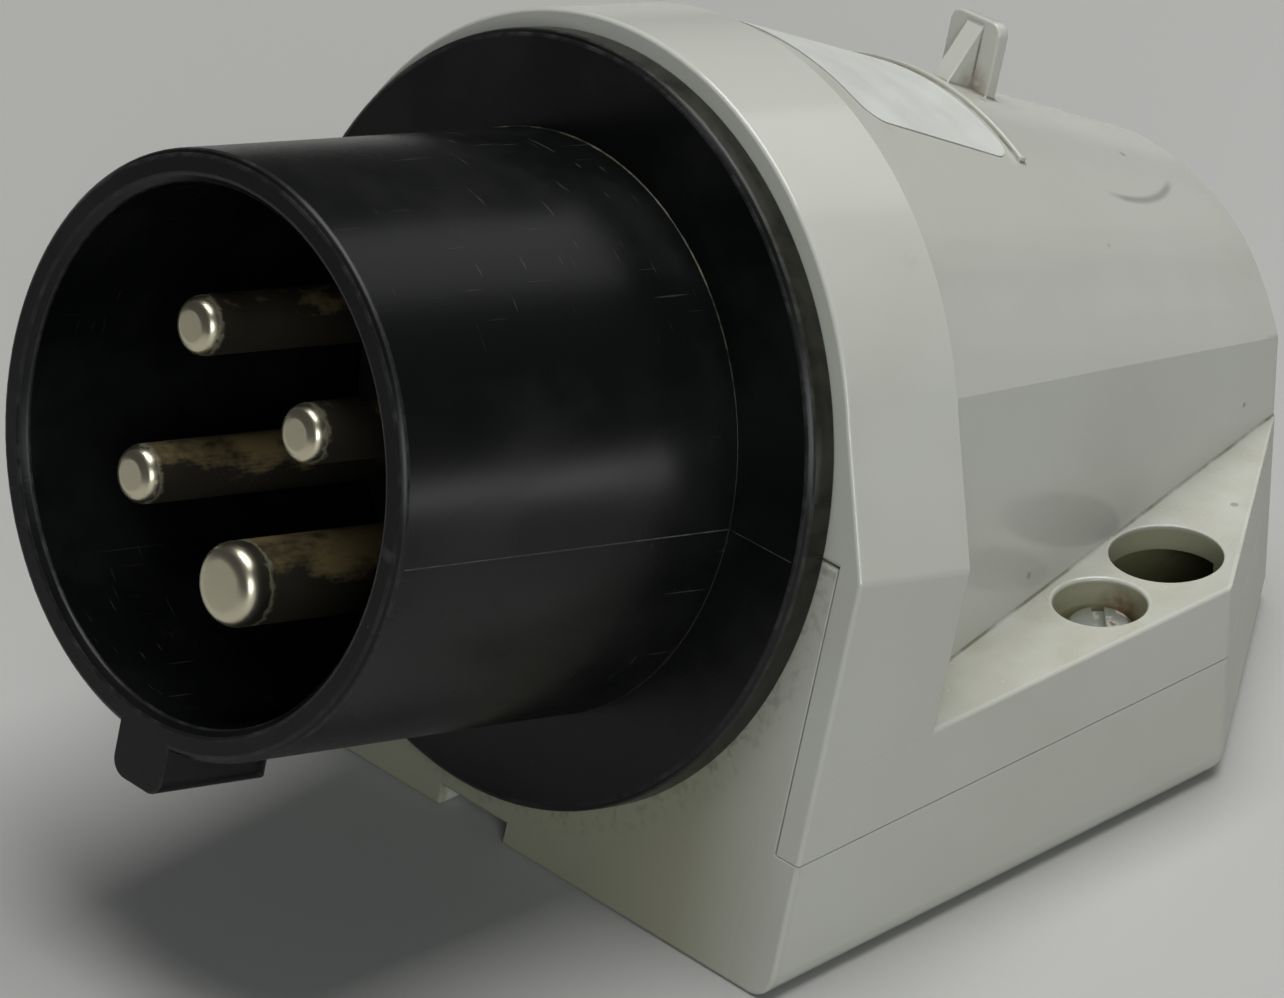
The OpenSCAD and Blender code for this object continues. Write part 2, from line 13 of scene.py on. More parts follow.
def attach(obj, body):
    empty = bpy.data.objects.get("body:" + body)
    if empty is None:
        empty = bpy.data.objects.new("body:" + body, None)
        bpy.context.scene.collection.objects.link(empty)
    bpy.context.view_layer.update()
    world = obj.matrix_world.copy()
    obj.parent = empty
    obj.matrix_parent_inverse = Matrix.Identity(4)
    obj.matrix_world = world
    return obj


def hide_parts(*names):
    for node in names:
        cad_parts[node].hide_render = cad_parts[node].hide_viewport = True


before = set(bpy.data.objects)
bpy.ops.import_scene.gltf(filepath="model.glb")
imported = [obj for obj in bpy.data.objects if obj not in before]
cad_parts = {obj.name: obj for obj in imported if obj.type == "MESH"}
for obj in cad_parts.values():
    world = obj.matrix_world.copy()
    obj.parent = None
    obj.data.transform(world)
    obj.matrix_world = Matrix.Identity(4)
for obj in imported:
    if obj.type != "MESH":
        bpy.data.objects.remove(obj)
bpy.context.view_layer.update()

bl_info = {
    "name": "Wall inlet",
    "version": (1, 0, 0),
    "blender": (4, 5, 0),
    "location": "View3D > Sidebar > Inlet",
    "description": "Dresses the CAD frame of a wall mounted appliance inlet",
    "category": "Object",
}

MM = 0.001
# Points this near to a plane lie on it, points this near to each other are one, shorter edges are none
TOUCH = 0.01 * MM
ONE_POINT = 0.002 * MM
NO_EDGE = 0.003 * MM
# Faces that bend less than this are one flat face
FLAT = math.radians(0.4)

# The sleeve's own frame: z runs out of the sleeve, y up along the leaning front wall
AXIS_TURN = math.radians(75)
AXIS_FOOT = Vector((0, -44.494, 36.222)) * MM
ON_AXIS = Matrix.Translation(AXIS_FOOT) @ Matrix.Rotation(AXIS_TURN, 4, "X")
TO_AXIS = ON_AXIS.inverted()
AXIS_WAYS = ON_AXIS.to_3x3()

# The body's cone, in the sleeve's frame: its radius where it leaves the collar, and its taper
CONE_FROM = 13 * MM
CONE_R = 34.3 * MM
CONE_TAPER = math.tan(math.radians(12.7))

SLEEVE_R = 24.75 * MM
SLEEVE_END = 39.4 * MM
FLANGE_R = 33 * MM
FLANGE_T = 2.8 * MM
LEDGE_Z = 19 * MM
PIN_CIRCLE_R = 10.5 * MM
PIN_ANGLES = {"pin_l1": 30, "pin_l2": 120, "pin_l3": 210, "pin_earth": -60}

# The seam between base and cover: its height, the base's rim under it, the half widths of the front
# panel and of the cover's notch round it, and how far back and up the panel reaches
SEAM_Z = 12 * MM
RIM_Z = 11.7 * MM
PANEL_HALF = 34.55 * MM
NOTCH_HALF = 34.85 * MM
PANEL_BACK = -41 * MM
PANEL_TOP = 36.2 * MM

# The rear corners: the way they face, and how far out they and their inner walls lie
CHAMFER_FACING = Vector((0.81, 0.59, 0))
ON_CHAMFER = 30.2 * MM
INSIDE_CHAMFER = 27.4 * MM

# The inside, painted dark as shade, begins below the ledges, behind the front wall, within the sides and
# before the back
INSIDE_TOP, INSIDE_FRONT, INSIDE_HALF, INSIDE_BACK = 16.4 * MM, -2.6 * MM, 34.9 * MM, 23.2 * MM
OFF_WALL = 0.5 * MM

# Driver hole and screw well of the right ledge: x, y and radius in mm; the left ledge mirrors them
HOLES = ((29.7, 0, 5.0), (31.69, -10.2, 4.05))

# Single marks: rust in the well, dirt and painted shade beside the lug's web (in the sleeve's frame), the
# scuff on the cone
RUST_SPOT = Vector((30.6, -6.4, 16.3)) * MM
LUG_NOOK = Vector((1.4, 28.4, -41.9)) * MM
SCUFF_SPOT = Vector((13.1, 14.0, 42.8)) * MM
SCUFF_TURN = math.radians(109)
SCUFF_BEND = -28.0

# How edges are rounded: in how many steps, the share of the free room that a rounding takes, the share
# of the width that inner edges get, and the spread of widths along one curve
ROUND_STEPS = 3
ROOM_SHARE = 0.4
INNER_SHARE = 0.45
RUN_SPREAD = 1.2
# Cosines of two edges that carry on into one another, and that lie in one line
CARRIES_ON = 0.85
IN_LINE = 0.9999
# The room left beside an edge that turns back sharply, and that of an edge with nothing near it
SHARP_TURN = math.radians(25)
SHARP_ROOM = 0.35 * MM
FREE_ROOM = 1.0

# How far in from the flat side the cone bends to meet the crease, and the rows of points in that bend
BEND_DEPTH = 5.5 * MM
BEND_ROWS = (0.025, 0.1, 0.25, 0.45, 0.7, 1)
CREASE_PARTS = 18

# Kinds of node that the finishes are made of
MATH, RANGE, MIX = "ShaderNodeMath", "ShaderNodeMapRange", "ShaderNodeMix"
NOISE, BUMP, ATTRIBUTE = "ShaderNodeTexNoise", "ShaderNodeBump", "ShaderNodeAttribute"
MAPPING, VECTOR = "ShaderNodeMapping", "ShaderNodeVectorMath"
JOIN, SPLIT = "ShaderNodeCombineXYZ", "ShaderNodeSeparateXYZ"
SHADER, OUTPUT = "ShaderNodeBsdfPrincipled", "ShaderNodeOutputMaterial"


def linear(code):
    """Linear colour of an sRGB hex code."""
    shares = [int(code[i:i + 2], 16) / 255 for i in (0, 2, 4)]
    return [s / 12.92 if s <= 0.04045 else ((s + 0.055) / 1.055) ** 2.4 for s in shares]


def cone_at(depth):
    """Radius of the body's cone at a depth behind the front wall."""
    return CONE_R - (depth - CONE_FROM) * CONE_TAPER


def spoke(angle):
    """The way out from the sleeve's axis at an angle in degrees, in the sleeve's frame."""
    a = math.radians(angle)
    return Vector((math.cos(a), math.sin(a), 0))


def every(*spans):
    """Scale of a pattern that repeats after these lengths in millimetres along x, y and z."""
    return [1 / (span * MM) for span in spans]


def size(name, default, description):
    """A length that a user may change, its default in millimetres."""
    return FloatProperty(name=name, description=description, default=default * MM, unit="LENGTH")


def tint(name, code, description):
    """A colour that a user may change, its default an sRGB hex code."""
    return FloatVectorProperty(name=name, description=description, subtype="COLOR", default=linear(code))


class InletSizes(bpy.types.PropertyGroup):
    """Sizes of the rounded edges, the label and the moulding lines."""

    edge_round: size("Edge rounding", 0.4, "Rounding of the housing's edges")
    crease_front: size("Crease drop, front", 3.8, "How far the crease drops down the side at the collar")
    crease_rear: size("Crease drop, rear", 1.9, "How far the crease drops down the side at the back")
    seam_round: size("Seam rounding", 0.08, "Rounding of the edges along the seam")
    rim_seam: size("Rim seam", 0.05, "Width of the seam round the base's rim")
    panel_seam: size("Panel seam", 0.13, "Width of the seam beside the front panel")
    sleeve_round: size("Sleeve rounding", 0.2, "Rounding of the sleeve's edges")
    tip_length: size("Pin tip length", 1.6, "Length of the shoulder behind a pin's flat tip")
    tip_flat: FloatProperty(
        name="Pin tip flat", description="Share of a pin's width left flat at its tip", default=0.57)
    small_round: size("Small rounding", 0.2, "Rounding of pins, seals and inner pieces")
    parting_height: size("Parting line height", 0.06, "Height of the moulding line along the sleeve")
    label_half: size("Label half width", 13.9, "Half the width of the label across the body")
    label_from: size("Label start", 15.6, "Depth of the label's front edge behind the front wall")
    label_to: size("Label end", 34.6, "Depth of the label's rear edge behind the front wall")
    label_corner: size("Label corner", 2.2, "Rounding of the label's corners")
    label_t: size("Label thickness", 0.1, "Height of the label above the body")
    screw_seed: IntProperty(
        name="Screw seed", description="Seed of the turn of each hidden screw", default=7)


class InletColours(bpy.types.PropertyGroup):
    """Colours of the finishes."""

    housing: tint("Housing grey", "C5C6BE", "Grey of the clean housing")
    housing_aged: tint("Aged grey", "BFBFB5", "Grey of the housing where it has yellowed")
    # The grime's colour is also the painted shade in the housing's corners and along its inner edges
    grime_and_shade: tint("Grime", "5E5947", "Film of dirt on the housing")
    # The film's colour is also the painted shade inside the body and on the front panel's lower part
    film: tint("Film", "86835C", "Yellow film on the front panel and in the holes")
    smear: tint("Scuff mark", "70716C", "Grey of the scuff on the cone")
    sleeve: tint("Sleeve black", "0C0D0D", "Black of the sleeve")
    scuff: tint("Scuffed black", "4A4B49", "Paler black on worn edges and scratches")
    dust: tint("Dust", "7C7864", "Dust in the sleeve's corners")
    carrier: tint("Carrier black", "121213", "Black of the contact carrier")
    rubber: tint("Rubber black", "1E1E1F", "Black of seals and grommet")
    bloom: tint("Rubber bloom", "4B4A48", "Grey bloom on the rubber")
    nickel: tint("Nickel", "DBD5BC", "Plating of the pins")
    tarnish: tint("Tarnish", "7D6D49", "Brown tarnish on the pins")
    # The soot's colour is also the painted shade on the pins' undersides
    soot: tint("Soot", "0F0E0A", "Black soot on the shafts of the pins")
    zinc: tint("Zinc", "CDD0CB", "Plating of the screws")
    # The rust's colour is also the painted shade in the corner between the lug and its web
    rust: tint("Rust", "6A4A30", "Rust on and round the screws")
    label: tint("Label white", "D9DBD6", "White of the bare label")
    floor: tint("Floor", "B4B4B1", "Pale grey of the floor")


def add(tree, kind, inputs=None, **settings):
    """Adds a node with its settings, and sets each input to a value or links it to a node or output."""
    made = tree.nodes.new(kind)
    for name, value in settings.items():
        setattr(made, name, value)
    for key, value in (inputs or {}).items():
        if isinstance(key, int):
            socket = made.inputs[key]
        else:
            socket = next(s for s in made.inputs if s.enabled and s.name == key)
        if isinstance(value, bpy.types.Node):
            value = next(s for s in value.outputs if s.enabled)
        if isinstance(value, bpy.types.NodeSocket):
            tree.links.new(value, socket)
        elif socket.type == "RGBA":
            socket.default_value = [*value, 1]
        else:
            socket.default_value = value
    return made


def blank_material(name):
    """A new material without nodes, what adds a node to it, and the piece's own coordinates."""
    material = bpy.data.materials.new(name)
    material.use_nodes = True
    material.node_tree.nodes.clear()
    node = partial(add, material.node_tree)
    return material, node, node("ShaderNodeTexCoord").outputs["Object"]


def sleeve_frame(node, place):
    """Coordinates in the sleeve's frame, and their parts: across, up and out of the sleeve."""
    axis = node(MAPPING, {"Vector": place, "Location": AXIS_FOOT, "Rotation": (AXIS_TURN, 0, 0)},
                vector_type="TEXTURE")
    return axis, *node(SPLIT, {0: axis}).outputs


def housing_material(colours):
    """Moulded ABS, aged: semi-gloss grey, yellowed in patches, grimy and painted with shade in its corners,
    inside and on its front.
    """
    material, node, place = blank_material("aged_moulded_abs")
    axis, across, up, out = sleeve_frame(node, place)
    wide, along, height = node(SPLIT, {0: place}).outputs
    # Yellowed patches are about 25 mm across, smears 4 mm, spots and the skin's ripple a millimetre
    patches, smear, spots, ripple = (
        node(NOISE, {"Vector": place, "Scale": 1 / (span * MM), "Detail": detail})
        for span, detail in ((25, 3.0), (4, 4.0), (0.9, 4.0), (1.1, 2.0)))
    aged = node(RANGE, {0: patches, 1: 0.35, 2: 0.68})

    # Grime and painted shade darken the corners, by how closed in they are, and every inner edge, broken up
    # by the smears
    open_share = node("ShaderNodeAmbientOcclusion", {"Distance": 1.2 * MM}, samples=6)
    corner_dirt_and_shade = node(RANGE, {0: open_share.outputs["AO"], 1: 0.5, 2: 0.15, 4: 0.6})
    patchy = node(RANGE, {0: smear, 1: 0.3, 2: 0.7, 3: 0.25, 4: 0.75})
    corners = node(MATH, {0: corner_dirt_and_shade, 1: patchy}, operation="MULTIPLY")
    inner = node(ATTRIBUTE, attribute_name="inner_edge")
    line = node(RANGE, {0: smear, 1: 0.38, 2: 0.6, 3: 0.3, 4: 0.8})
    line = node(MATH, {0: inner.outputs["Fac"], 1: line}, operation="MULTIPLY")

    # The film on the front panel is yellowing and painted shade: it darkens towards its lower edge under
    # the sleeve and lightens to the right
    side = node(MATH, {0: wide}, operation="ABSOLUTE")
    front = node(RANGE, {0: out, 1: -0.9 * MM, 2: -0.3 * MM})
    panel = node(MATH, {0: side, 1: PANEL_HALF + 0.25 * MM}, operation="LESS_THAN")
    foot = node(MATH, {0: height, 1: SEAM_Z}, operation="LESS_THAN")
    panel = node(MATH, {0: panel, 1: foot}, operation="MAXIMUM")
    topped = node(MATH, {0: height, 1: PANEL_TOP}, operation="LESS_THAN")
    for share in (front, topped):
        panel = node(MATH, {0: panel, 1: share}, operation="MULTIPLY")
    lower = node(RANGE, {0: up, 1: 10 * MM, 2: -30 * MM, 3: 0.3, 4: 0.62})
    fades_right = node(RANGE, {0: wide, 1: 25 * MM, 2: 36 * MM, 3: 1.0, 4: 0.12})
    film = panel
    for share in (lower, fades_right):
        film = node(MATH, {0: film, 1: share}, operation="MULTIPLY")

    # The same film lines the screw wells and the driver holes, thicker further down
    plan = node(JOIN, {0: side, 1: along})
    sunk = node(RANGE, {0: height, 1: LEDGE_Z - 0.05 * MM, 2: LEDGE_Z - 0.5 * MM, 4: 0.72})
    off_wall = node(MATH, {0: height, 1: OFF_WALL}, operation="GREATER_THAN")
    sunk = node(MATH, {0: sunk, 1: off_wall}, operation="MULTIPLY")
    for x, y, r in HOLES:
        off = node(VECTOR, {0: plan, 1: Vector((x, y, 0)) * MM}, operation="DISTANCE")
        within = node(RANGE, {0: off, 1: (r + 0.4) * MM, 2: (r + 0.1) * MM})
        lining = node(MATH, {0: within, 1: sunk}, operation="MULTIPLY")
        film = node(MATH, {0: film, 1: lining}, operation="MAXIMUM")
    # A thin, uneven dust of it lies on the ledges, and the inside is painted dark with it as shade
    ledge = node(MATH, {0: height, 1: LEDGE_Z, 2: 0.02 * MM}, operation="COMPARE")
    dusty = node(RANGE, {0: smear, 1: 0.3, 2: 0.7, 3: 0.06, 4: 0.32})
    dusty = node(MATH, {0: ledge, 1: dusty}, operation="MULTIPLY")
    film = node(MATH, {0: film, 1: dusty}, operation="MAXIMUM")
    depth = node(VECTOR, {0: plan, 1: CHAMFER_FACING}, operation="DOT_PRODUCT")
    inside_shade = node(MATH, {0: depth, 1: INSIDE_CHAMFER}, operation="LESS_THAN")
    for level, limit, kind in ((height, INSIDE_TOP, "LESS_THAN"), (height, OFF_WALL, "GREATER_THAN"),
                               (out, INSIDE_FRONT, "LESS_THAN"), (side, INSIDE_HALF, "LESS_THAN"),
                               (along, INSIDE_BACK, "LESS_THAN")):
        within = node(MATH, {0: level, 1: limit}, operation=kind)
        inside_shade = node(MATH, {0: inside_shade, 1: within}, operation="MULTIPLY")
    inside_shade = node(MATH, {0: inside_shade, 1: 0.9}, operation="MULTIPLY")
    film = node(MATH, {0: film, 1: inside_shade}, operation="MAXIMUM")

    # Brown spots of dirt follow the flange
    ring = node(JOIN, {0: across, 1: up})
    radius = node(VECTOR, {0: ring}, operation="LENGTH")
    rim = node(RANGE, {0: radius, 1: FLANGE_R + 3 * MM, 2: FLANGE_R})
    blots = node(RANGE, {0: spots, 1: 0.5, 2: 0.7, 4: 0.5})
    for share in (panel, blots):
        rim = node(MATH, {0: rim, 1: share}, operation="MULTIPLY")

    # Dark specks under half a millimetre, one in some of the 4 mm cells
    cells = node("ShaderNodeTexVoronoi", {"Vector": place, "Scale": 1 / (4 * MM)})
    chance = node("ShaderNodeSeparateColor", {0: cells.outputs["Color"]})
    picked = node(RANGE, {0: chance.outputs[0], 1: 0.5, 2: 0.95, 4: 0.1})
    specks = node(MATH, {0: cells.outputs["Distance"], 1: picked}, operation="LESS_THAN")
    specks = node(MATH, {0: specks, 1: 0.5}, operation="MULTIPLY")

    # Faint grey smudges from handling, in groups on the upper body
    touches = node(MATH, {0: smear, 1: aged}, operation="MULTIPLY")
    touches = node(RANGE, {0: touches, 1: 0.46, 2: 0.66, 4: 0.2})
    high = node(MATH, {0: height, 1: 30 * MM}, operation="GREATER_THAN")
    touches = node(MATH, {0: touches, 1: high}, operation="MULTIPLY")

    # The dirt also carries the painted shade of the corners and inner edges
    dirt_and_shade = corners
    for more in (line, touches, rim, specks):
        dirt_and_shade = node(MATH, {0: dirt_and_shade, 1: more}, operation="MAXIMUM")

    # Rust has run down the far wall of each screw well
    mirrored = node(JOIN, {0: side, 1: along, 2: height})
    well = node(VECTOR, {0: mirrored, 1: RUST_SPOT}, operation="DISTANCE")
    rust_and_nook_shade = node(RANGE, {0: well, 1: 2.4 * MM, 2: 0.7 * MM, 4: 0.9})
    below = node(MATH, {0: height, 1: LEDGE_Z - 0.4 * MM}, operation="LESS_THAN")
    runs = node(RANGE, {0: spots, 1: 0.35, 2: 0.6, 3: 0.35, 4: 1.0})
    for share in (below, runs):
        rust_and_nook_shade = node(MATH, {0: rust_and_nook_shade, 1: share}, operation="MULTIPLY")
    # Brown dirt and painted shade darken the corner between the lug and its web
    nook_dirt_and_shade = node(VECTOR, {0: axis, 1: LUG_NOOK}, operation="DISTANCE")
    nook_dirt_and_shade = node(RANGE, {0: nook_dirt_and_shade, 1: 2.2 * MM, 2: 0.4 * MM, 4: 0.5})
    nook_dirt_and_shade = node(MATH, {0: nook_dirt_and_shade, 1: runs}, operation="MULTIPLY")
    rust_and_nook_shade = node(MATH, {0: rust_and_nook_shade, 1: nook_dirt_and_shade}, operation="MAXIMUM")

    # One curved grey scuff on the cone, some 14 mm long
    scuff = node(MAPPING, {"Vector": place, "Location": SCUFF_SPOT, "Rotation": (0, 0, SCUFF_TURN)},
                 vector_type="TEXTURE")
    run, bend, _ = node(SPLIT, {0: scuff}).outputs
    sag = node(MATH, {0: run, 1: run}, operation="MULTIPLY")
    sag = node(MATH, {0: sag, 1: SCUFF_BEND, 2: bend}, operation="MULTIPLY_ADD")
    sag = node(MATH, {0: sag}, operation="ABSOLUTE")
    stroke = node(RANGE, {0: sag, 1: 0.42 * MM, 2: 0.1 * MM, 4: 0.5})
    length = node(MATH, {0: run}, operation="ABSOLUTE")
    length = node(RANGE, {0: length, 1: 6.8 * MM, 2: 4.5 * MM})
    topside = node(MATH, {0: height, 1: 36 * MM}, operation="GREATER_THAN")
    for share in (length, topside):
        stroke = node(MATH, {0: stroke, 1: share}, operation="MULTIPLY")

    # The film's and grime's mixes also lay the painted shade that their masks carry
    colour = colours.housing
    for share, coat in ((aged, colours.housing_aged), (film, colours.film), (dirt_and_shade, colours.grime_and_shade),
                        (rust_and_nook_shade, colours.rust), (stroke, colours.smear)):
        colour = node(MIX, {"Factor": share, "A": colour, "B": coat}, data_type="RGBA")

    # Gloss is lost where dirt lies and on the rubbed rear corners; the skin ripples faintly
    corner = node(MATH, {0: depth, 1: ON_CHAMFER, 2: 0.2 * MM}, operation="COMPARE")
    dull = dirt_and_shade
    for more in (film, corner):
        dull = node(MATH, {0: dull, 1: more}, operation="MAXIMUM")
    gloss = node(RANGE, {0: dull, 3: 0.15, 4: 0.65})
    relief = node(BUMP, {"Strength": 0.05, "Distance": 0.05 * MM, "Height": ripple})
    shader = node(SHADER, {"Base Color": colour, "Roughness": gloss, "Normal": relief, "IOR": 1.53})
    node(OUTPUT, {"Surface": shader})
    return material


def sleeve_material(colours):
    """Moulded polyamide, black: satin, pale on worn edges, scratched, dusty where it meets its flange, with
    a painted highlight along its parting line.
    """
    material, node, place = blank_material("scuffed_moulded_polyamide")
    axis, across, up, _ = sleeve_frame(node, place)
    ring = node(JOIN, {0: across, 1: up})
    radius = node(VECTOR, {0: ring}, operation="LENGTH")

    # A dull film lies in clouds about 12 mm across, scratches in patches of 16 mm, dust in tufts of 2 mm
    clouds, rubbed, tufts, skin = (
        node(NOISE, {"Vector": axis, "Scale": 1 / (span * MM), "Detail": detail})
        for span, detail in ((12, 5.0), (16, 1.0), (2, 5.0), (0.8, 2.0)))
    film = node(RANGE, {0: clouds, 1: 0.45, 2: 0.8, 4: 0.14})

    # Scratches: noise drawn out along the sleeve, and the same crosswise
    scratches = []
    for spans, turn in ((every(0.35, 0.35, 9), (0.05, 0.08, 0)), (every(3, 3, 0.3), (0.3, -0.2, 0))):
        drawn = node(MAPPING, {"Vector": axis, "Scale": spans, "Rotation": turn})
        scratches.append(node(NOISE, {"Vector": drawn, "Scale": 1.0, "Detail": 1.0}))
    lines = node(MATH, dict(enumerate(scratches)), operation="MAXIMUM")
    lines = node(RANGE, {0: lines, 1: 0.72, 2: 0.8, 4: 0.6})
    rubbed = node(RANGE, {0: rubbed, 1: 0.45, 2: 0.65})
    tube = node(MATH, {0: radius, 1: SLEEVE_R + 0.5 * MM}, operation="LESS_THAN")
    for share in (rubbed, tube):
        lines = node(MATH, {0: lines, 1: share}, operation="MULTIPLY")

    # Edges are rubbed pale, nicked every 2 mm; the parting line's paleness is partly a painted highlight
    edge = node(ATTRIBUTE, attribute_name="worn_edge_and_highlight")
    nicks = node(NOISE, {"Vector": axis, "Scale": 1 / (1.6 * MM), "Detail": 5.0, "Roughness": 0.65})
    nicks = node(RANGE, {0: nicks, 1: 0.45, 2: 0.78, 3: 0.14, 4: 0.6})
    edge = node(MATH, {0: edge.outputs["Fac"], 1: nicks}, operation="MULTIPLY")

    wear_and_highlight = film
    for more in (lines, edge):
        wear_and_highlight = node(MATH, {0: wear_and_highlight, 1: more}, operation="MAXIMUM")

    # A thread of dust lies where the sleeve meets its flange, over the upper half
    inner = node(ATTRIBUTE, attribute_name="inner_edge")
    over = node(RANGE, {0: up, 1: 9 * MM, 2: 18 * MM, 3: 0.03})
    thick = node(RANGE, {0: tufts, 1: 0.42, 2: 0.68, 3: 0.06, 4: 0.7})
    thread = inner.outputs["Fac"]
    for share in (over, thick):
        thread = node(MATH, {0: thread, 1: share}, operation="MULTIPLY")
    # More of it dulls the flange's outer rim
    rim = node(RANGE, {0: radius, 1: FLANGE_R - 0.15 * MM, 2: FLANGE_R - 0.05 * MM})
    soiled = node(RANGE, {0: tufts, 1: 0.3, 2: 0.75, 3: 0.01, 4: 0.12})
    rim = node(MATH, {0: rim, 1: soiled}, operation="MULTIPLY")
    dust = node(MATH, {0: thread, 1: rim}, operation="MAXIMUM")

    colour = colours.sleeve
    for share, coat in ((wear_and_highlight, colours.scuff), (dust, colours.dust)):
        colour = node(MIX, {"Factor": share, "A": colour, "B": coat}, data_type="RGBA")
    dull = node(MATH, {0: wear_and_highlight, 1: dust}, operation="MAXIMUM")
    gloss = node(RANGE, {0: dull, 3: 0.26, 4: 0.7})
    relief = node(BUMP, {"Strength": 0.08, "Distance": 0.05 * MM, "Height": skin})
    shader = node(SHADER, {"Base Color": colour, "Roughness": gloss, "Normal": relief, "IOR": 1.33})
    node(OUTPUT, {"Surface": shader})
    return material


def carrier_material(colours):
    """Moulded phenolic, black: matt, with a grainy face and a little dust."""
    material, node, place = blank_material("matt_moulded_phenolic")
    grain = node(NOISE, {"Vector": place, "Scale": 1 / (0.5 * MM), "Detail": 3.0})
    clouds = node(NOISE, {"Vector": place, "Scale": 1 / (6 * MM), "Detail": 4.0})
    dusty = node(RANGE, {0: clouds, 1: 0.45, 2: 0.75, 4: 0.18})
    tone = node(MIX, {"Factor": dusty, "A": colours.carrier, "B": colours.dust}, data_type="RGBA")
    gloss = node(RANGE, {0: grain, 3: 0.45, 4: 0.68})
    relief = node(BUMP, {"Strength": 0.15, "Distance": 0.05 * MM, "Height": grain})
    shader = node(SHADER, {"Base Color": tone, "Roughness": gloss, "Normal": relief, "IOR": 1.55})
    node(OUTPUT, {"Surface": shader})
    return material


def rubber_material(colours):
    """Moulded EPDM rubber, black: dull, faintly pitted, with a grey bloom."""
    material, node, place = blank_material("moulded_epdm_rubber")
    bloom = node(NOISE, {"Vector": place, "Scale": 1 / (5 * MM), "Detail": 5.0})
    pale = node(RANGE, {0: bloom, 1: 0.4, 2: 0.75, 4: 0.3})
    tone = node(MIX, {"Factor": pale, "A": colours.rubber, "B": colours.bloom}, data_type="RGBA")
    gloss = node(RANGE, {0: bloom, 3: 0.5, 4: 0.75})
    pits = node(NOISE, {"Vector": place, "Scale": 1 / (0.4 * MM), "Detail": 2.0})
    relief = node(BUMP, {"Strength": 0.2, "Distance": 0.05 * MM, "Height": pits})
    shader = node(SHADER, {"Base Color": tone, "Roughness": gloss, "Normal": relief, "IOR": 1.52})
    node(OUTPUT, {"Surface": shader})
    return material


def pin_material(colours):
    """Nickel plated brass, turned: bright at the tips, tarnished brown behind them, sooty in patches, with
    painted shade on the undersides.
    """
    material, node, place = blank_material("tarnished_nickel_plated_brass")
    axis, _, up, out = sleeve_frame(node, place)
    # Bare metal at the tip turns to brown tarnish behind the shoulder, along a ragged line
    fine = node(NOISE, {"Vector": axis, "Scale": 1 / (0.9 * MM), "Detail": 5.0, "Roughness": 0.65})
    behind = node(RANGE, {0: out, 1: 37.3 * MM, 2: 35.4 * MM, 3: -0.3, 4: 0.75})
    brown = node(MATH, {0: fine, 1: behind}, operation="ADD")
    brown = node(RANGE, {0: brown, 1: 0.5, 2: 0.85})
    # Soot covers the shafts in patches some 4 mm long, thickest just behind the tip, and painted shade
    # darkens their undersides
    drawn = node(MAPPING, {"Vector": axis, "Scale": every(2.6, 2.6, 4.5)})
    clouds = node(NOISE, {"Vector": drawn, "Scale": 1.0, "Detail": 6.0, "Roughness": 0.65})
    burnt = node(RANGE, {0: out, 1: 26 * MM, 2: 34 * MM, 3: -0.04, 4: 0.1})
    facing = node(SPLIT, {0: node("ShaderNodeNewGeometry").outputs["True Normal"]})
    # Painted shade: faces turned down are darker
    under = node(RANGE, {0: facing.outputs["Z"], 1: 0.75, 2: -0.1, 3: -0.06, 4: 0.3})
    upper = node(RANGE, {0: up, 1: -5 * MM, 2: 6 * MM, 4: 0.16})
    soot = clouds
    for more in (burnt, under, upper):
        soot = node(MATH, {0: soot, 1: more}, operation="ADD")
    soot = node(RANGE, {0: soot, 1: 0.44, 2: 0.66, 4: 0.94})
    soot = node(MATH, {0: soot, 1: brown}, operation="MULTIPLY")
    colour = colours.nickel
    for share, coat in ((brown, colours.tarnish), (soot, colours.soot)):
        colour = node(MIX, {"Factor": share, "A": colour, "B": coat}, data_type="RGBA")
    # The lathe left fine rings
    turned = node(MAPPING, {"Vector": axis, "Scale": every(6, 6, 0.25)})
    rings = node(NOISE, {"Vector": turned, "Scale": 1.0, "Detail": 2.0})
    dull = node(RANGE, {0: brown, 3: 0.24, 4: 0.6})
    gloss = node(MATH, {0: rings, 1: 0.14, 2: dull}, operation="MULTIPLY_ADD")
    metal = node(RANGE, {0: brown, 3: 1.0, 4: 0.15})
    relief = node(BUMP, {"Strength": 0.12, "Distance": 0.03 * MM, "Height": rings})
    shader = node(SHADER, {"Base Color": colour, "Roughness": gloss, "Metallic": metal, "Normal": relief})
    node(OUTPUT, {"Surface": shader})
    return material


def screw_material(colours):
    """Zinc plated steel, cold headed: satin grey metal with rust breaking through in spots."""
    material, node, place = blank_material("rusted_zinc_plated_steel")
    clouds = node(NOISE, {"Vector": place, "Scale": 1 / (1.8 * MM), "Detail": 5.0})
    spots = node(RANGE, {0: clouds, 1: 0.54, 2: 0.66})
    tone = node(MIX, {"Factor": spots, "A": colours.zinc, "B": colours.rust}, data_type="RGBA")
    grain = node(NOISE, {"Vector": place, "Scale": 1 / (0.3 * MM), "Detail": 2.0})
    dull = node(RANGE, {0: spots, 3: 0.25, 4: 0.75})
    gloss = node(MATH, {0: grain, 1: 0.12, 2: dull}, operation="MULTIPLY_ADD")
    metal = node(RANGE, {0: spots, 3: 1.0, 4: 0.1})
    relief = node(BUMP, {"Strength": 0.2, "Distance": 0.03 * MM, "Height": clouds})
    shader = node(SHADER, {"Base Color": tone, "Roughness": gloss, "Metallic": metal, "Normal": relief})
    node(OUTPUT, {"Surface": shader})
    return material


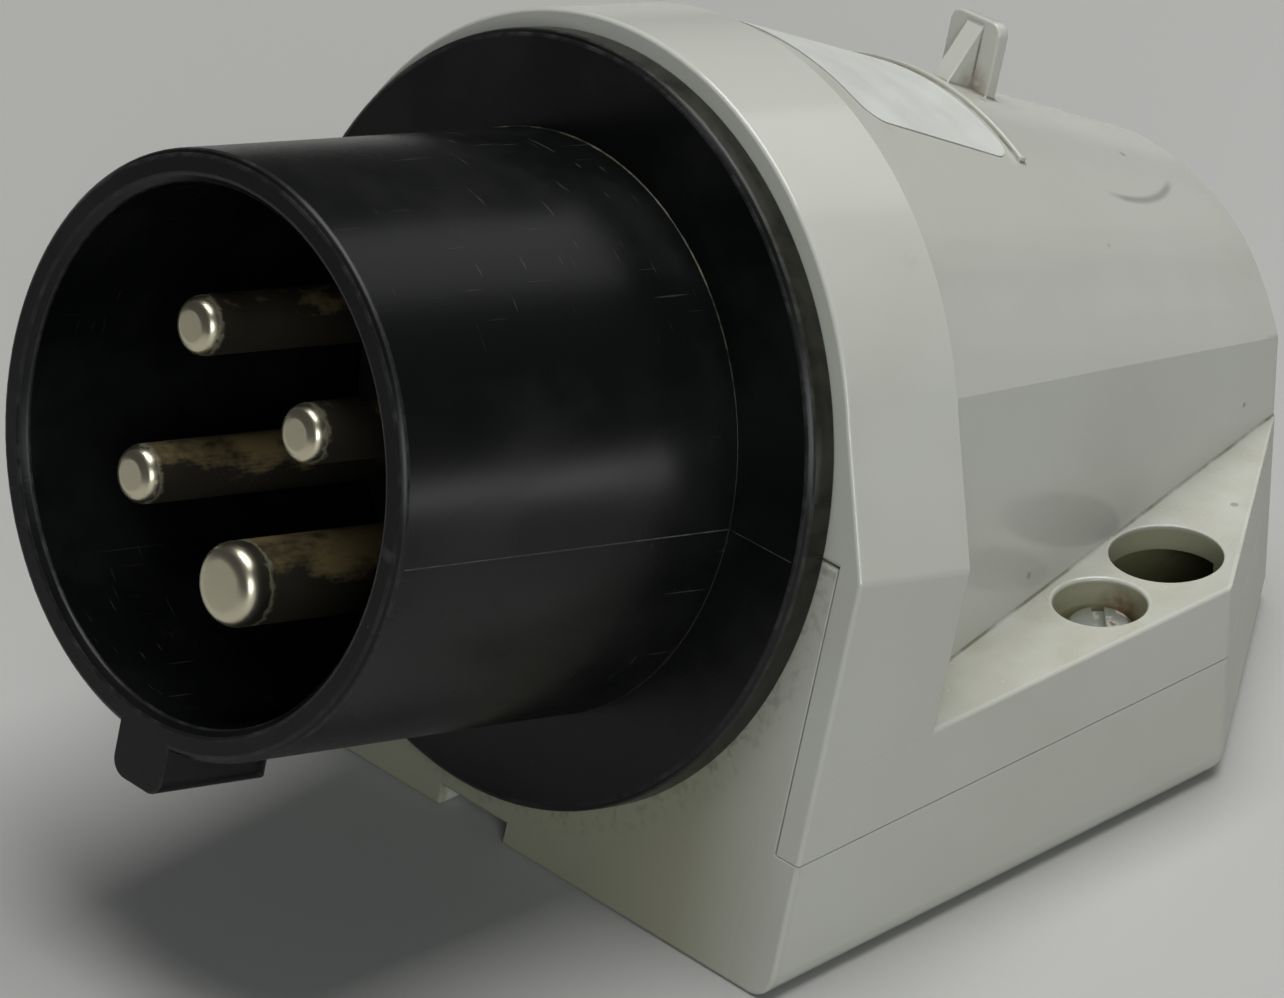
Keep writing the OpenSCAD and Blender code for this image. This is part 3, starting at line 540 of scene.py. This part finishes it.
def label_material(colours):
    """Printed polyester film left bare: satin white, soiled along its edges."""
    material, node, place = blank_material("bare_polyester_film")
    clouds = node(NOISE, {"Vector": place, "Scale": 1 / (7 * MM), "Detail": 4.0})
    soil = node(RANGE, {0: clouds, 1: 0.4, 2: 0.75, 4: 0.22})
    rim = node(ATTRIBUTE, attribute_name="label_rim")
    rim = node(RANGE, {0: rim.outputs["Fac"], 1: 0.0, 2: 1.0, 4: 0.6})
    soil = node(MATH, {0: soil, 1: rim}, operation="MAXIMUM")
    tone = node(MIX, {"Factor": soil, "A": colours.label, "B": colours.grime_and_shade}, data_type="RGBA")
    gloss = node(RANGE, {0: clouds, 3: 0.28, 4: 0.45})
    wave = node(BUMP, {"Strength": 0.05, "Distance": 0.1 * MM, "Height": clouds})
    shader = node(SHADER, {"Base Color": tone, "Roughness": gloss, "Normal": wave, "IOR": 1.5})
    node(OUTPUT, {"Surface": shader})
    return material


def floor_material(colours):
    """Painted board: plain pale grey, matt."""
    material, node, place = blank_material("matt_painted_board")
    clouds = node(NOISE, {"Vector": place, "Scale": 1 / (250 * MM), "Detail": 3.0})
    gloss = node(RANGE, {0: clouds, 3: 0.5, 4: 0.65})
    shader = node(SHADER, {"Base Color": colours.floor, "Roughness": gloss})
    node(OUTPUT, {"Surface": shader})
    return material


MAKERS = {
    "housing": housing_material, "sleeve": sleeve_material, "carrier": carrier_material,
    "rubber": rubber_material, "pin": pin_material, "screw": screw_material,
    "label": label_material, "floor": floor_material,
}
MADE = {}


def finish_of(name):
    """The named finish, made the first time it is asked for."""
    if name not in MADE:
        MADE[name] = MAKERS[name](bpy.context.scene.inlet_colours)
    return MADE[name]


def cad_copy(node):
    """A CAD node's shape as one joined mesh, its flat faces undivided."""
    bm = bmesh.new()
    bm.from_mesh(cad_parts[node].data)
    bmesh.ops.remove_doubles(bm, verts=bm.verts, dist=ONE_POINT)
    bmesh.ops.dissolve_limit(bm, angle_limit=FLAT, verts=bm.verts, edges=bm.edges)
    return bm


def object_of(bm, name):
    """A new object in the scene with a finished mesh."""
    mesh = bpy.data.meshes.new(name)
    bm.to_mesh(mesh)
    bm.free()
    obj = bpy.data.objects.new(name, mesh)
    bpy.context.scene.collection.objects.link(obj)
    return obj


def narrowest(edges):
    """For each edge, how far off the nearest edge beside it runs."""
    ends = np.array([[v.co[:] for v in e.verts] for e in edges])
    names = np.array([[v.index for v in e.verts] for e in edges])
    start, run = ends[:, 0], ends[:, 1] - ends[:, 0]
    length = np.linalg.norm(run, axis=1)
    gaps = np.full(len(edges), FREE_ROOM)
    for i in range(len(edges)):
        middle = ends[i].mean(0)
        share = np.clip(((middle - start) * run).sum(1) / (length * length), 0, 1)
        offset = start + run * share[:, None] - middle
        along = np.abs(offset @ (run[i] / length[i]))
        far = np.linalg.norm(offset, axis=1)
        # Beside the edge means more to its side than ahead of it
        beside = (along < 0.5 * far) & ~np.isin(names, names[i]).any(1)
        if beside.any():
            gaps[i] = min(gaps[i], far[beside].min())
            gaps[beside] = np.minimum(gaps[beside], far[beside])
    return gaps


def room_at_ends(edge):
    """Length of the shortest edge that turns off at an edge's ends; little where one turns back sharply."""
    room = FREE_ROOM
    for v in edge.verts:
        run = (edge.other_vert(v).co - v.co).normalized()
        for other in v.link_edges:
            away = other.other_vert(v).co - v.co
            turn = run.dot(away.normalized())
            if other is edge or turn < -CARRIES_ON:
                continue
            if turn < CARRIES_ON:
                room = min(room, away.length)
            elif other.is_manifold and other.calc_face_angle() > SHARP_TURN:
                room = min(room, SHARP_ROOM)
    return room


def runs_of(edges):
    """Groups of edges that follow one another round a curve; the rounding of one group needs one width."""
    left, runs = set(edges), []
    while left:
        run, ahead = [], [left.pop()]
        while ahead:
            edge = ahead.pop()
            run.append(edge)
            for v in edge.verts:
                way = (edge.other_vert(v).co - v.co).normalized()
                for other in v.link_edges:
                    turn = way.dot((other.other_vert(v).co - v.co).normalized())
                    alike = other in left and other.is_convex == edge.is_convex
                    if alike and -IN_LINE < turn < -CARRIES_ON:
                        left.remove(other)
                        ahead.append(other)
        runs.append(run)
    return runs


def lower_crease(bm, front_drop, rear_drop):
    """Brings the crease between cone and flat sides down the sides; the cone bends in to meet it."""
    # The flat sides stand upright and turn a little to the back
    def on_side(face):
        n = face.normal
        return abs(n.z) < 0.01 and n.y > 0.15 and abs(n.x) > 0.95

    # The flanks are the cone's faces away from its top
    def on_flank(face):
        if not 0.02 < face.normal.z < 0.9 or abs(face.verts[0].co.x) < 10 * MM:
            return False
        places = [TO_AXIS @ v.co for v in face.verts]
        return all(abs(math.hypot(p.x, p.y) - cone_at(-p.z)) < 0.1 * MM for p in places)

    def flanks():
        return [f for f in bm.faces if on_flank(f)]

    def sides():
        beside = {g for f in flanks() for e in f.edges for g in e.link_faces}
        return [f for f in bm.faces if f in beside and on_side(f)]

    walls = [(f.normal.copy(), f.verts[0].co.copy()) for f in sides()]
    if len(walls) != 2:
        raise RuntimeError("the two flat sides under the cone were not found")
    crease = {v.co.y for f in sides() for v in f.verts if any(on_flank(g) for g in v.link_faces)}
    front, rear = min(crease), max(crease)
    # Cuts across the flank and along the crease give the bend its rows of points
    cuts = [(Vector((0, front + (rear - front) * i / CREASE_PARTS, 0)), Vector((0, 1, 0)))
            for i in range(1, CREASE_PARTS)]
    cuts += [(co - normal * inset * BEND_DEPTH, normal) for normal, co in walls for inset in BEND_ROWS]
    for co, normal in cuts:
        faces = flanks() + sides()
        # Kept in the mesh's own order, so that each run cuts alike
        verts = dict.fromkeys(v for f in faces for v in f.verts)
        edges = dict.fromkeys(e for f in faces for e in f.edges)
        bmesh.ops.bisect_plane(bm, geom=[*verts, *edges, *faces], dist=1e-7, plane_co=co, plane_no=normal)
    # Points that fall almost together become one, the one on the flank's border
    join = {}
    for edge in dict.fromkeys(e for f in flanks() for e in f.edges if e.calc_length() < 0.2 * MM):
        off, kept = sorted(edge.verts, key=lambda v: sum(not on_flank(f) for f in v.link_faces))
        if not {off, kept} & (set(join) | set(join.values())) and not all(map(on_flank, kept.link_faces)):
            join[off] = kept
    bmesh.ops.weld_verts(bm, targetmap=join)
    bm.normal_update()
    for edge in {e for f in flanks() for e in f.edges}:
        edge.smooth = not any(on_side(f) for f in edge.link_faces)
    out = AXIS_WAYS @ Vector((0, 0, 1))
    for v in {v for f in flanks() for v in f.verts}:
        normal, co = min(walls, key=lambda wall: abs((wall[1] - v.co).dot(wall[0])))
        inset = (co - v.co).dot(normal) / BEND_DEPTH
        if inset < 1:
            share = (v.co.y - front) / (rear - front)
            down = normal.cross(out).normalized()
            down *= -math.copysign(1 - share, down.z)
            down.z -= share
            v.co += down * (front_drop * (1 - share) + rear_drop * share) * (1 - inset) ** 2
    bm.normal_update()


def round_edges(bm, name, width, sharper_than=25, seam=None, seam_width=0.0):
    """An object whose sharp edges are rounded, less near another edge, on inner edges and along a seam."""
    weight = bm.edges.layers.float.new("bevel_weight_edge")
    bm.verts.index_update()
    limit = math.radians(sharper_than)

    def on_seam(co):
        return seam and (abs(co.z - seam[0]) < TOUCH or abs(abs(co.x) - seam[1]) < TOUCH)

    sharp = [e for e in bm.edges if e.is_manifold and e.calc_face_angle() > limit]
    widths = {}
    for edge, gap in zip(sharp, narrowest(sharp)):
        room = ROOM_SHARE * min(gap, room_at_ends(edge))
        if all(on_seam(v.co) for v in edge.verts):
            edge[weight] = min(seam_width, room) / width
        else:
            widths[edge] = min(width if edge.is_convex else INNER_SHARE * width, room)
    for run in runs_of(widths):
        room = [widths[e] for e in run]
        for edge in run:
            edge[weight] = min(RUN_SPREAD * min(room), max(room)) / width
    obj = object_of(bm, name)
    # The second of two empty slots marks the rounded faces
    for _ in range(2):
        obj.data.materials.append(None)
    bevel = obj.modifiers.new("rounded edges", "BEVEL")
    bevel.width = width
    bevel.segments = ROUND_STEPS
    bevel.limit_method = "WEIGHT"
    bevel.use_clamp_overlap = False
    bevel.loop_slide = False
    bevel.material = 1
    plain_mesh(obj)
    mark_edges(obj.data)
    return obj


def mark_edges(mesh):
    """Notes on each rounded face whether it lies on an outer or an inner edge."""
    bm = bmesh.new()
    bm.from_mesh(mesh)
    bmesh.ops.dissolve_degenerate(bm, dist=NO_EDGE, edges=bm.edges)
    layers = bm.faces.layers.float
    for name in ("worn_edge_and_highlight", "inner_edge"):
        layers.new(name)
    outer, inner = layers["worn_edge_and_highlight"], layers["inner_edge"]
    for face in bm.faces:
        if face.material_index:
            bend = sum(e.calc_face_angle_signed(0.0) * e.calc_length() for e in face.edges)
            face[outer if bend > 0 else inner] = 1.0
            face.material_index = 0
    bm.to_mesh(mesh)
    bm.free()
    mesh.materials.clear()


def plain_mesh(obj):
    """Turns an object with modifiers into one with a plain mesh."""
    graph = bpy.context.evaluated_depsgraph_get()
    mesh = bpy.data.meshes.new_from_object(obj.evaluated_get(graph), preserve_all_data_layers=True,
                                           depsgraph=graph)
    old = obj.data
    obj.modifiers.clear()
    obj.data = mesh
    mesh.name = obj.name
    if old.users == 0:
        bpy.data.meshes.remove(old)
    return obj


def smooth_piece(obj, finish):
    """Shades a piece smooth, keeping its large faces flat, and gives it its finish."""
    obj.data.shade_smooth()
    obj.data.materials.append(finish_of(finish))
    flat = obj.modifiers.new("flat faces", "WEIGHTED_NORMAL")
    flat.weight = 100
    flat.keep_sharp = True
    return plain_mesh(obj)


def stands_for(obj, slot, *nodes):
    """Hands the piece to the frame: it rides on the part, and takes the place of its nodes."""
    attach(obj, "root")
    if nodes:
        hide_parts(*nodes)


class INLET_OT_stage(bpy.types.Operator):
    """Sets up the floor, the lamps, the world and the camera"""

    bl_idname = "inlet.stage"
    bl_label = "Stage"

    def execute(self, context):
        scene = context.scene
        scene.view_settings.view_transform = "Standard"

        bm = bmesh.new()
        bmesh.ops.create_grid(bm, x_segments=8, y_segments=8, size=3)
        floor = object_of(bm, "floor")
        floor.location.z = -0.02 * MM
        floor.data.materials.append(finish_of("floor"))

        # A soft box overhead, a weaker one on the viewer's right, a faint one behind for the sheen on the
        # sleeve, and a small low strip whose reflection runs along the sleeve's side
        middle = Vector((0, -0.02, 0.03))
        for name, place, aim, wide, tall, watts, spread in (
            ("overhead", (0, 0.16, 1.3), middle, 0.9, 0.9, 16.0, 180),
            ("right_fill", (0.92, -0.66, 0.45), middle, 0.5, 0.5, 4.3, 180),
            ("behind", (-0.05, 1.3, 0.85), middle, 0.7, 0.7, 1.2, 180),
            ("low_strip", (0.165, 0.062, 0.016), (0.024, -0.064, 0.042), 0.055, 0.025, 0.0008, 45),
        ):
            lamp = bpy.data.lights.new(name, "AREA")
            lamp.shape = "RECTANGLE"
            lamp.size = wide
            lamp.size_y = tall
            lamp.energy = watts
            lamp.spread = math.radians(spread)
            obj = bpy.data.objects.new(name, lamp)
            obj.location = place
            obj.rotation_euler = (Vector(aim) - Vector(place)).to_track_quat("-Z", "Y").to_euler()
            obj.visible_camera = False
            scene.collection.objects.link(obj)
        # The fill is a little cooler than the light from above, and the strip lights the sleeve alone
        bpy.data.lights["right_fill"].color = (0.93, 0.985, 1.0)
        strip = bpy.data.objects["low_strip"]
        strip.light_linking.receiver_collection = bpy.data.collections.new("lit_by_low_strip")

        world = bpy.data.worlds.new("dim_studio")
        world.use_nodes = True
        back = world.node_tree.nodes["Background"]
        back.inputs["Color"].default_value = (0.5, 0.5, 0.5, 1)
        back.inputs["Strength"].default_value = 0.1
        scene.world = world

        # Lens, place and turn are fitted to the photo
        lens = bpy.data.cameras.new("camera")
        lens.sensor_width = 36
        lens.sensor_fit = "HORIZONTAL"
        lens.lens = 180.9
        lens.shift_x = 0.0212
        lens.shift_y = -0.0506
        lens.clip_start = 0.01
        camera = bpy.data.objects.new("camera", lens)
        ahead = Vector((-0.6533, 0.5876, -0.4775)).normalized()
        right = ahead.cross(Vector((-0.3568, 0.3174, 0.8787))).normalized()
        turn = Matrix((right, right.cross(ahead), -ahead)).transposed().to_4x4()
        camera.matrix_world = Matrix.Translation((0.3587, -0.3601, 0.2944)) @ turn
        scene.collection.objects.link(camera)
        scene.camera = camera
        return {"FINISHED"}


class INLET_OT_base(bpy.types.Operator):
    """Builds the base moulding with rounded edges"""

    bl_idname = "inlet.base"
    bl_label = "Base"

    def execute(self, context):
        sizes = context.scene.inlet_sizes
        bm = cad_copy("base")
        rim, half = SEAM_Z - sizes.rim_seam, NOTCH_HALF - sizes.panel_seam
        up = AXIS_WAYS @ Vector((0, 1, 0))
        # The moulded seam closes up tighter than the clearance drawn for it
        for v in bm.verts:
            if abs((TO_AXIS @ v.co).y) < TOUCH and v.co.y < PANEL_BACK:
                v.co += up * (half - PANEL_HALF)
            if abs(v.co.z - RIM_Z) < TOUCH:
                v.co.z = rim
            if abs(abs(v.co.x) - PANEL_HALF) < TOUCH:
                v.co.x = math.copysign(half, v.co.x)
        bm.normal_update()
        base = round_edges(bm, "base_moulding", sizes.edge_round, seam=(rim, half),
                           seam_width=sizes.seam_round)
        stands_for(smooth_piece(base, "housing"), "body_grey", "base")
        return {"FINISHED"}


class INLET_OT_cover(bpy.types.Operator):
    """Builds the cover moulding, with a soft crease between its cone and its sides"""

    bl_idname = "inlet.cover"
    bl_label = "Cover"

    def execute(self, context):
        sizes = context.scene.inlet_sizes
        bm = cad_copy("cover")
        lower_crease(bm, sizes.crease_front, sizes.crease_rear)
        cover = round_edges(bm, "cover_moulding", sizes.edge_round, sharper_than=21,
                            seam=(SEAM_Z, NOTCH_HALF), seam_width=sizes.seam_round)
        stands_for(smooth_piece(cover, "housing"), "body_grey", "cover")
        return {"FINISHED"}


class INLET_OT_label(bpy.types.Operator):
    """Builds the bare label that lies on the cone behind the collar"""

    bl_idname = "inlet.label"
    bl_label = "Label"

    def execute(self, context):
        sizes = context.scene.inlet_sizes
        half, corner = sizes.label_half, sizes.label_corner
        straight = half - corner
        # Columns of points lie closer together round the corners
        turns = [math.sin(math.radians(a)) for a in range(0, 91, 15)]
        columns = [-straight - corner * t for t in reversed(turns)]
        columns += [straight * (i / 8 - 1) for i in range(1, 16)]
        columns += [straight + corner * t for t in turns]
        rows = 14
        bm = bmesh.new()
        rim = bm.faces.layers.float.new("label_rim")

        def layer(lift):
            grid = []
            for x in columns:
                past = max(0.0, abs(x) - straight)
                inset = corner - math.sqrt(max(0.0, corner * corner - past * past))
                start, end = sizes.label_from + inset, sizes.label_to - inset
                column = []
                for i in range(rows + 1):
                    depth = start + (end - start) * i / rows
                    r = cone_at(depth) + lift
                    column.append(bm.verts.new(ON_AXIS @ Vector((x, math.sqrt(r * r - x * x), -depth))))
                grid.append(column)
            return grid

        top, under = layer(sizes.label_t), layer(-0.05 * MM)
        last = len(columns) - 1
        for i in range(last):
            for j in range(rows):
                bm.faces.new((top[i][j], top[i + 1][j], top[i + 1][j + 1], top[i][j + 1]))
                bm.faces.new((under[i][j], under[i][j + 1], under[i + 1][j + 1], under[i + 1][j]))
        loop = [(i, 0) for i in range(last)] + [(last, j) for j in range(rows)]
        loop += [(i, rows) for i in range(last, 0, -1)] + [(0, j) for j in range(rows, 0, -1)]
        for (a, b), (c, d) in zip(loop, loop[1:] + loop[:1]):
            bm.faces.new((top[a][b], under[a][b], under[c][d], top[c][d]))[rim] = 1.0
        bmesh.ops.recalc_face_normals(bm, faces=bm.faces)
        label = object_of(bm, "bare_label")
        label.data.shade_smooth()
        label.data.set_sharp_from_angle(angle=math.radians(40))
        label.data.materials.append(finish_of("label"))
        stands_for(label, "body_grey")
        return {"FINISHED"}


class INLET_OT_sleeve(bpy.types.Operator):
    """Builds the sleeve with its flange, key rib and moulding lines"""

    bl_idname = "inlet.sleeve"
    bl_label = "Sleeve"

    def execute(self, context):
        sizes = context.scene.inlet_sizes
        sleeve = round_edges(cad_copy("sleeve"), "sleeve_moulding", sizes.sleeve_round)
        bm = bmesh.new()
        bm.from_mesh(sleeve.data)
        wear_and_highlight = bm.faces.layers.float["worn_edge_and_highlight"]
        # A thin raised line down both sides, from the rim along the sleeve and over the flange
        lift, sunk, half, short = sizes.parting_height, 0.1 * MM, 0.09 * MM, 0.9 * MM
        section = ((-half, -sunk), (half, -sunk), (half * 0.4, lift), (-half * 0.4, lift))
        foot = FLANGE_T + sizes.sleeve_round
        runs = (
            ((SLEEVE_R, SLEEVE_END - short), (SLEEVE_R, foot), (1, 0)),
            ((SLEEVE_R + sizes.sleeve_round, FLANGE_T), (FLANGE_R - short, FLANGE_T), (0, 1)),
        )
        for side in (1, -1):
            for start, end, (dr, dz) in runs:
                near, far = ([bm.verts.new(ON_AXIS @ Vector((side * (r + h * dr), y, z + h * dz)))
                              for y, h in section] for r, z in (start, end))
                strip = [bm.faces.new(near), bm.faces.new(far)]
                for i in range(4):
                    j = (i + 1) % 4
                    strip.append(bm.faces.new((near[i], near[j], far[j], far[i])))
                bmesh.ops.recalc_face_normals(bm, faces=strip)
                # The line is painted pale, as wear and as a painted highlight, palest along the sleeve
                for face in strip:
                    face[wear_and_highlight] = 4.0 if dr else 1.0
        bm.to_mesh(sleeve.data)
        bm.free()
        stands_for(smooth_piece(sleeve, "sleeve"), "sleeve_black", "sleeve")
        bpy.data.objects["low_strip"].light_linking.receiver_collection.objects.link(sleeve)
        return {"FINISHED"}


class INLET_OT_carrier(bpy.types.Operator):
    """Builds the contact carrier and its back plate"""

    bl_idname = "inlet.carrier"
    bl_label = "Contact carrier"

    def execute(self, context):
        for node in ("contact_carrier", "carrier_back_plate"):
            disc = round_edges(cad_copy(node), node + "_moulding", context.scene.inlet_sizes.small_round)
            stands_for(smooth_piece(disc, "carrier"), "carrier_black", node)
        return {"FINISHED"}


class INLET_OT_pins(bpy.types.Operator):
    """Builds the four turned pins with rounded tips"""

    bl_idname = "inlet.pins"
    bl_label = "Pins"

    def execute(self, context):
        sizes = context.scene.inlet_sizes
        for node, angle in PIN_ANGLES.items():
            bm = cad_copy(node)
            middle = spoke(angle) * PIN_CIRCLE_R
            spots = {v: TO_AXIS @ v.co - middle for v in bm.verts}
            tip = max(spot.z for spot in spots.values())
            foot = tip - sizes.tip_length - TOUCH
            shoulder = {v: spot for v, spot in spots.items() if spot.z > foot}
            full = max(spot.xy.length for spot in shoulder.values())
            # The tip narrows to a small flat over a shoulder worn round
            for v, spot in shoulder.items():
                left = max(0.0, 1 - (tip - spot.z) / sizes.tip_length)
                share = sizes.tip_flat + (1 - sizes.tip_flat) * math.sqrt(1 - left * left)
                spot.xy *= share * full / spot.xy.length
                v.co = ON_AXIS @ (spot + middle)
            bm.normal_update()
            pin = round_edges(bm, node + "_turned", sizes.small_round)
            stands_for(smooth_piece(pin, "pin"), "nickel", node)
        return {"FINISHED"}


def screw_tree():
    """Geometry nodes that set a slotted pan head screw on each point, along its axis attribute."""
    tree = bpy.data.node_groups.new("slotted_screws", "GeometryNodeTree")
    tree.is_modifier = True
    sockets = [("Places", "Geometry"), ("Head diameter", "Float"), ("Head height", "Float"),
               ("Shank diameter", "Float"), ("Shank length", "Float"), ("Slot width", "Float"),
               ("Slot depth", "Float"), ("Rounding", "Float"), ("Loose turn", "Float"), ("Seed", "Int"),
               ("Finish", "Material")]
    for name, kind in sockets:
        tree.interface.new_socket(name, in_out="INPUT", socket_type="NodeSocket" + kind)
    tree.interface.new_socket("Screws", in_out="OUTPUT", socket_type="NodeSocketGeometry")
    node = partial(add, tree)
    given = node("NodeGroupInput").outputs

    # Half the section, from the shank's end to the middle of the head, y running down the screw
    head_r, shank_r, edge, crown, top, slot_long, slot_high = (
        node(MATH, {0: given[name], 1: share}, operation="MULTIPLY") for name, share in (
            ("Head diameter", 0.5), ("Shank diameter", 0.5), ("Head height", -0.5), ("Head height", -0.94),
            ("Head height", -1.0), ("Head diameter", 1.3), ("Slot depth", 2.0)))
    tip_r, crown_r = (node(MATH, {0: r, 1: share}, operation="MULTIPLY")
                      for r, share in ((shank_r, 0.55), (head_r, 0.72)))
    end = given["Shank length"]
    taper = node(MATH, {0: end, 1: shank_r}, operation="SUBTRACT")
    section = [(0.0, end), (tip_r, end), (shank_r, taper), (shank_r, 0.0), (head_r, 0.0), (head_r, edge),
               (crown_r, crown), (0.0, top)]
    pick = node("GeometryNodeIndexSwitch", {"Index": node("GeometryNodeInputIndex")}, data_type="VECTOR")
    for i, (r, z) in enumerate(section):
        if i > 1:
            pick.index_switch_items.new()
        corner = node(JOIN, {0: r, 1: z})
        tree.links.new(corner.outputs[0], pick.inputs[1 + i])
    corners = node("GeometryNodePoints", {"Count": len(section), "Position": pick})
    outline = node("GeometryNodePointsToCurves", {0: corners})
    outline = node("GeometryNodeFilletCurve", {"Curve": outline, "Count": 3, "Radius": given["Rounding"],
                                               "Limit Radius": True}, mode="POLY")

    # The section swept round a tiny circle
    circle = node("GeometryNodeCurvePrimitiveCircle", {"Resolution": 48, "Radius": 1e-6})
    body = node("GeometryNodeCurveToMesh", {"Curve": circle.outputs[0], "Profile Curve": outline})
    body = node("GeometryNodeMergeByDistance", {"Geometry": body, "Distance": 4e-6})
    body = node("GeometryNodeFlipFaces", {"Mesh": body})
    slot = node(JOIN, {0: slot_long, 1: given["Slot width"], 2: slot_high})
    cutter = node("GeometryNodeMeshCube", {"Size": slot})
    lift = node(JOIN, {2: given["Head height"]})
    lifted = node("GeometryNodeTransform", {"Geometry": cutter.outputs[0], "Translation": lift})
    slotted = node("GeometryNodeMeshBoolean", {"Mesh 1": body, "Mesh 2": lifted}, operation="DIFFERENCE")

    # One screw for each place, turned to its axis and spun to its own turn
    axis = node("GeometryNodeInputNamedAttribute", {"Name": "axis"}, data_type="FLOAT_VECTOR")
    turn = node("GeometryNodeInputNamedAttribute", {"Name": "turn"}, data_type="FLOAT")
    loose = node("FunctionNodeRandomValue", {"Max": given["Loose turn"], "Seed": given["Seed"]},
                 data_type="FLOAT")
    spin = node(MATH, {0: turn.outputs[0], 1: loose}, operation="ADD")
    upright = node("FunctionNodeAlignRotationToVector", {"Vector": axis.outputs[0]}, axis="Z")
    twist = node("FunctionNodeAxisAngleToRotation", {"Axis": (0.0, 0.0, 1.0), "Angle": spin})
    facing = node("FunctionNodeRotateRotation", {0: upright, 1: twist}, rotation_space="LOCAL")
    points = node("GeometryNodeMeshToPoints", {"Mesh": given["Places"]})
    placed = node("GeometryNodeInstanceOnPoints", {"Points": points, "Instance": slotted,
                                                   "Rotation": facing})
    real = node("GeometryNodeRealizeInstances", {"Geometry": placed})
    dressed = node("GeometryNodeSetMaterial", {"Geometry": real, "Material": given["Finish"]})
    node("NodeGroupOutput", {"Screws": dressed})
    return tree


class INLET_OT_screws(bpy.types.Operator):
    """Builds every screw of the inlet with one tree of geometry nodes"""

    bl_idname = "inlet.screws"
    bl_label = "Screws"

    def execute(self, context):
        sizes = context.scene.inlet_sizes
        tree = screw_tree()
        ids = {s.name: s.identifier for s in tree.interface.items_tree if s.in_out == "INPUT"}

        def round_axis(angle, r, z):
            a = math.radians(angle)
            return ON_AXIS @ (Vector((r * math.cos(a), r * math.sin(a), z)) * MM)

        back = AXIS_WAYS @ Vector((0, 0, -1))
        *phases, earth = PIN_ANGLES.values()
        small = (5.2, 2.0, 2.9)
        # Place, axis and turn of each screw; width and height of its head and width of its shank, then
        # the shank's length, in mm; and how far it may be turned at random
        groups = {
            "cover_screws": ([(Vector((x, -10.2, 14.4)) * MM, Vector((0, 0, 1)), turn)
                              for x, turn in ((31.69, 138), (-31.69, 38))], (7.0, 2.8, 3.9), 11.25, 0),
            "carrier_screws": ([(round_axis(a, 25.75, -11.3), back, 0) for a in (90, 210, 330)],
                               small, 6.5, math.tau),
            "phase_terminal_screws": ([(round_axis(a, 14.4, -19.3), AXIS_WAYS @ spoke(a), 0)
                                       for a in phases], small, 2.2, math.tau),
            "earth_terminal_screw": ([(round_axis(earth, 15.1, -19.3), AXIS_WAYS @ spoke(earth), 0)],
                                     small, 2.9, math.tau),
        }
        for node, (places, (head_d, head_h, shank_d), length, loose) in groups.items():
            mesh = bpy.data.meshes.new(node + "_set")
            mesh.from_pydata([p for p, _, _ in places], [], [])
            mesh.attributes.new("axis", "FLOAT_VECTOR", "POINT")
            mesh.attributes.new("turn", "FLOAT", "POINT")
            for i, (_, axis, turn) in enumerate(places):
                mesh.attributes["axis"].data[i].vector = axis
                mesh.attributes["turn"].data[i].value = math.radians(turn)
            obj = bpy.data.objects.new(node + "_set", mesh)
            context.scene.collection.objects.link(obj)
            nodes = obj.modifiers.new("screws", "NODES")
            nodes.node_group = tree
            for name, value in (
                ("Head diameter", head_d * MM), ("Head height", head_h * MM),
                ("Shank diameter", shank_d * MM), ("Shank length", length * MM),
                ("Slot width", 1.1 * MM), ("Slot depth", 1.0 * MM), ("Rounding", 0.35 * MM),
                ("Loose turn", loose), ("Seed", sizes.screw_seed), ("Finish", finish_of("screw")),
            ):
                nodes[ids[name]] = value
            plain_mesh(obj)
            if not obj.data.polygons:
                raise RuntimeError(f"no screws were made for {node}")
            obj.data.shade_smooth()
            obj.data.set_sharp_from_angle(angle=math.radians(35))
            stands_for(obj, "zinc", node)
        return {"FINISHED"}


class INLET_OT_rubber(bpy.types.Operator):
    """Builds the two seals and the cable grommet"""

    bl_idname = "inlet.rubber"
    bl_label = "Seals and grommet"

    def execute(self, context):
        for node in ("cover_seal", "flange_seal", "cable_grommet"):
            soft = round_edges(cad_copy(node), node + "_rubber", context.scene.inlet_sizes.small_round)
            stands_for(smooth_piece(soft, "rubber"), "rubber_black", node)
        return {"FINISHED"}


STEPS = (INLET_OT_stage, INLET_OT_base, INLET_OT_cover, INLET_OT_label, INLET_OT_sleeve,
         INLET_OT_carrier, INLET_OT_pins, INLET_OT_screws, INLET_OT_rubber)


class INLET_PT_panel(bpy.types.Panel):
    """Lists the pieces and their sizes and colours"""

    bl_label = "Wall inlet"
    bl_idname = "INLET_PT_panel"
    bl_space_type = "VIEW_3D"
    bl_region_type = "UI"
    bl_category = "Inlet"

    def draw(self, context):
        for step in STEPS:
            self.layout.operator(step.bl_idname)
        for group in (context.scene.inlet_sizes, context.scene.inlet_colours):
            column = self.layout.column()
            for name in group.__annotations__:
                column.prop(group, name)


CLASSES = (InletSizes, InletColours, *STEPS, INLET_PT_panel)


def register():
    for cls in CLASSES:
        bpy.utils.register_class(cls)
    bpy.types.Scene.inlet_sizes = PointerProperty(type=InletSizes)
    bpy.types.Scene.inlet_colours = PointerProperty(type=InletColours)


def unregister():
    del bpy.types.Scene.inlet_colours
    del bpy.types.Scene.inlet_sizes
    for cls in reversed(CLASSES):
        bpy.utils.unregister_class(cls)


def main():
    register()
    for step in STEPS:
        group, name = step.bl_idname.split(".")
        getattr(getattr(bpy.ops, group), name)()


if __name__ == "__main__":
    main()
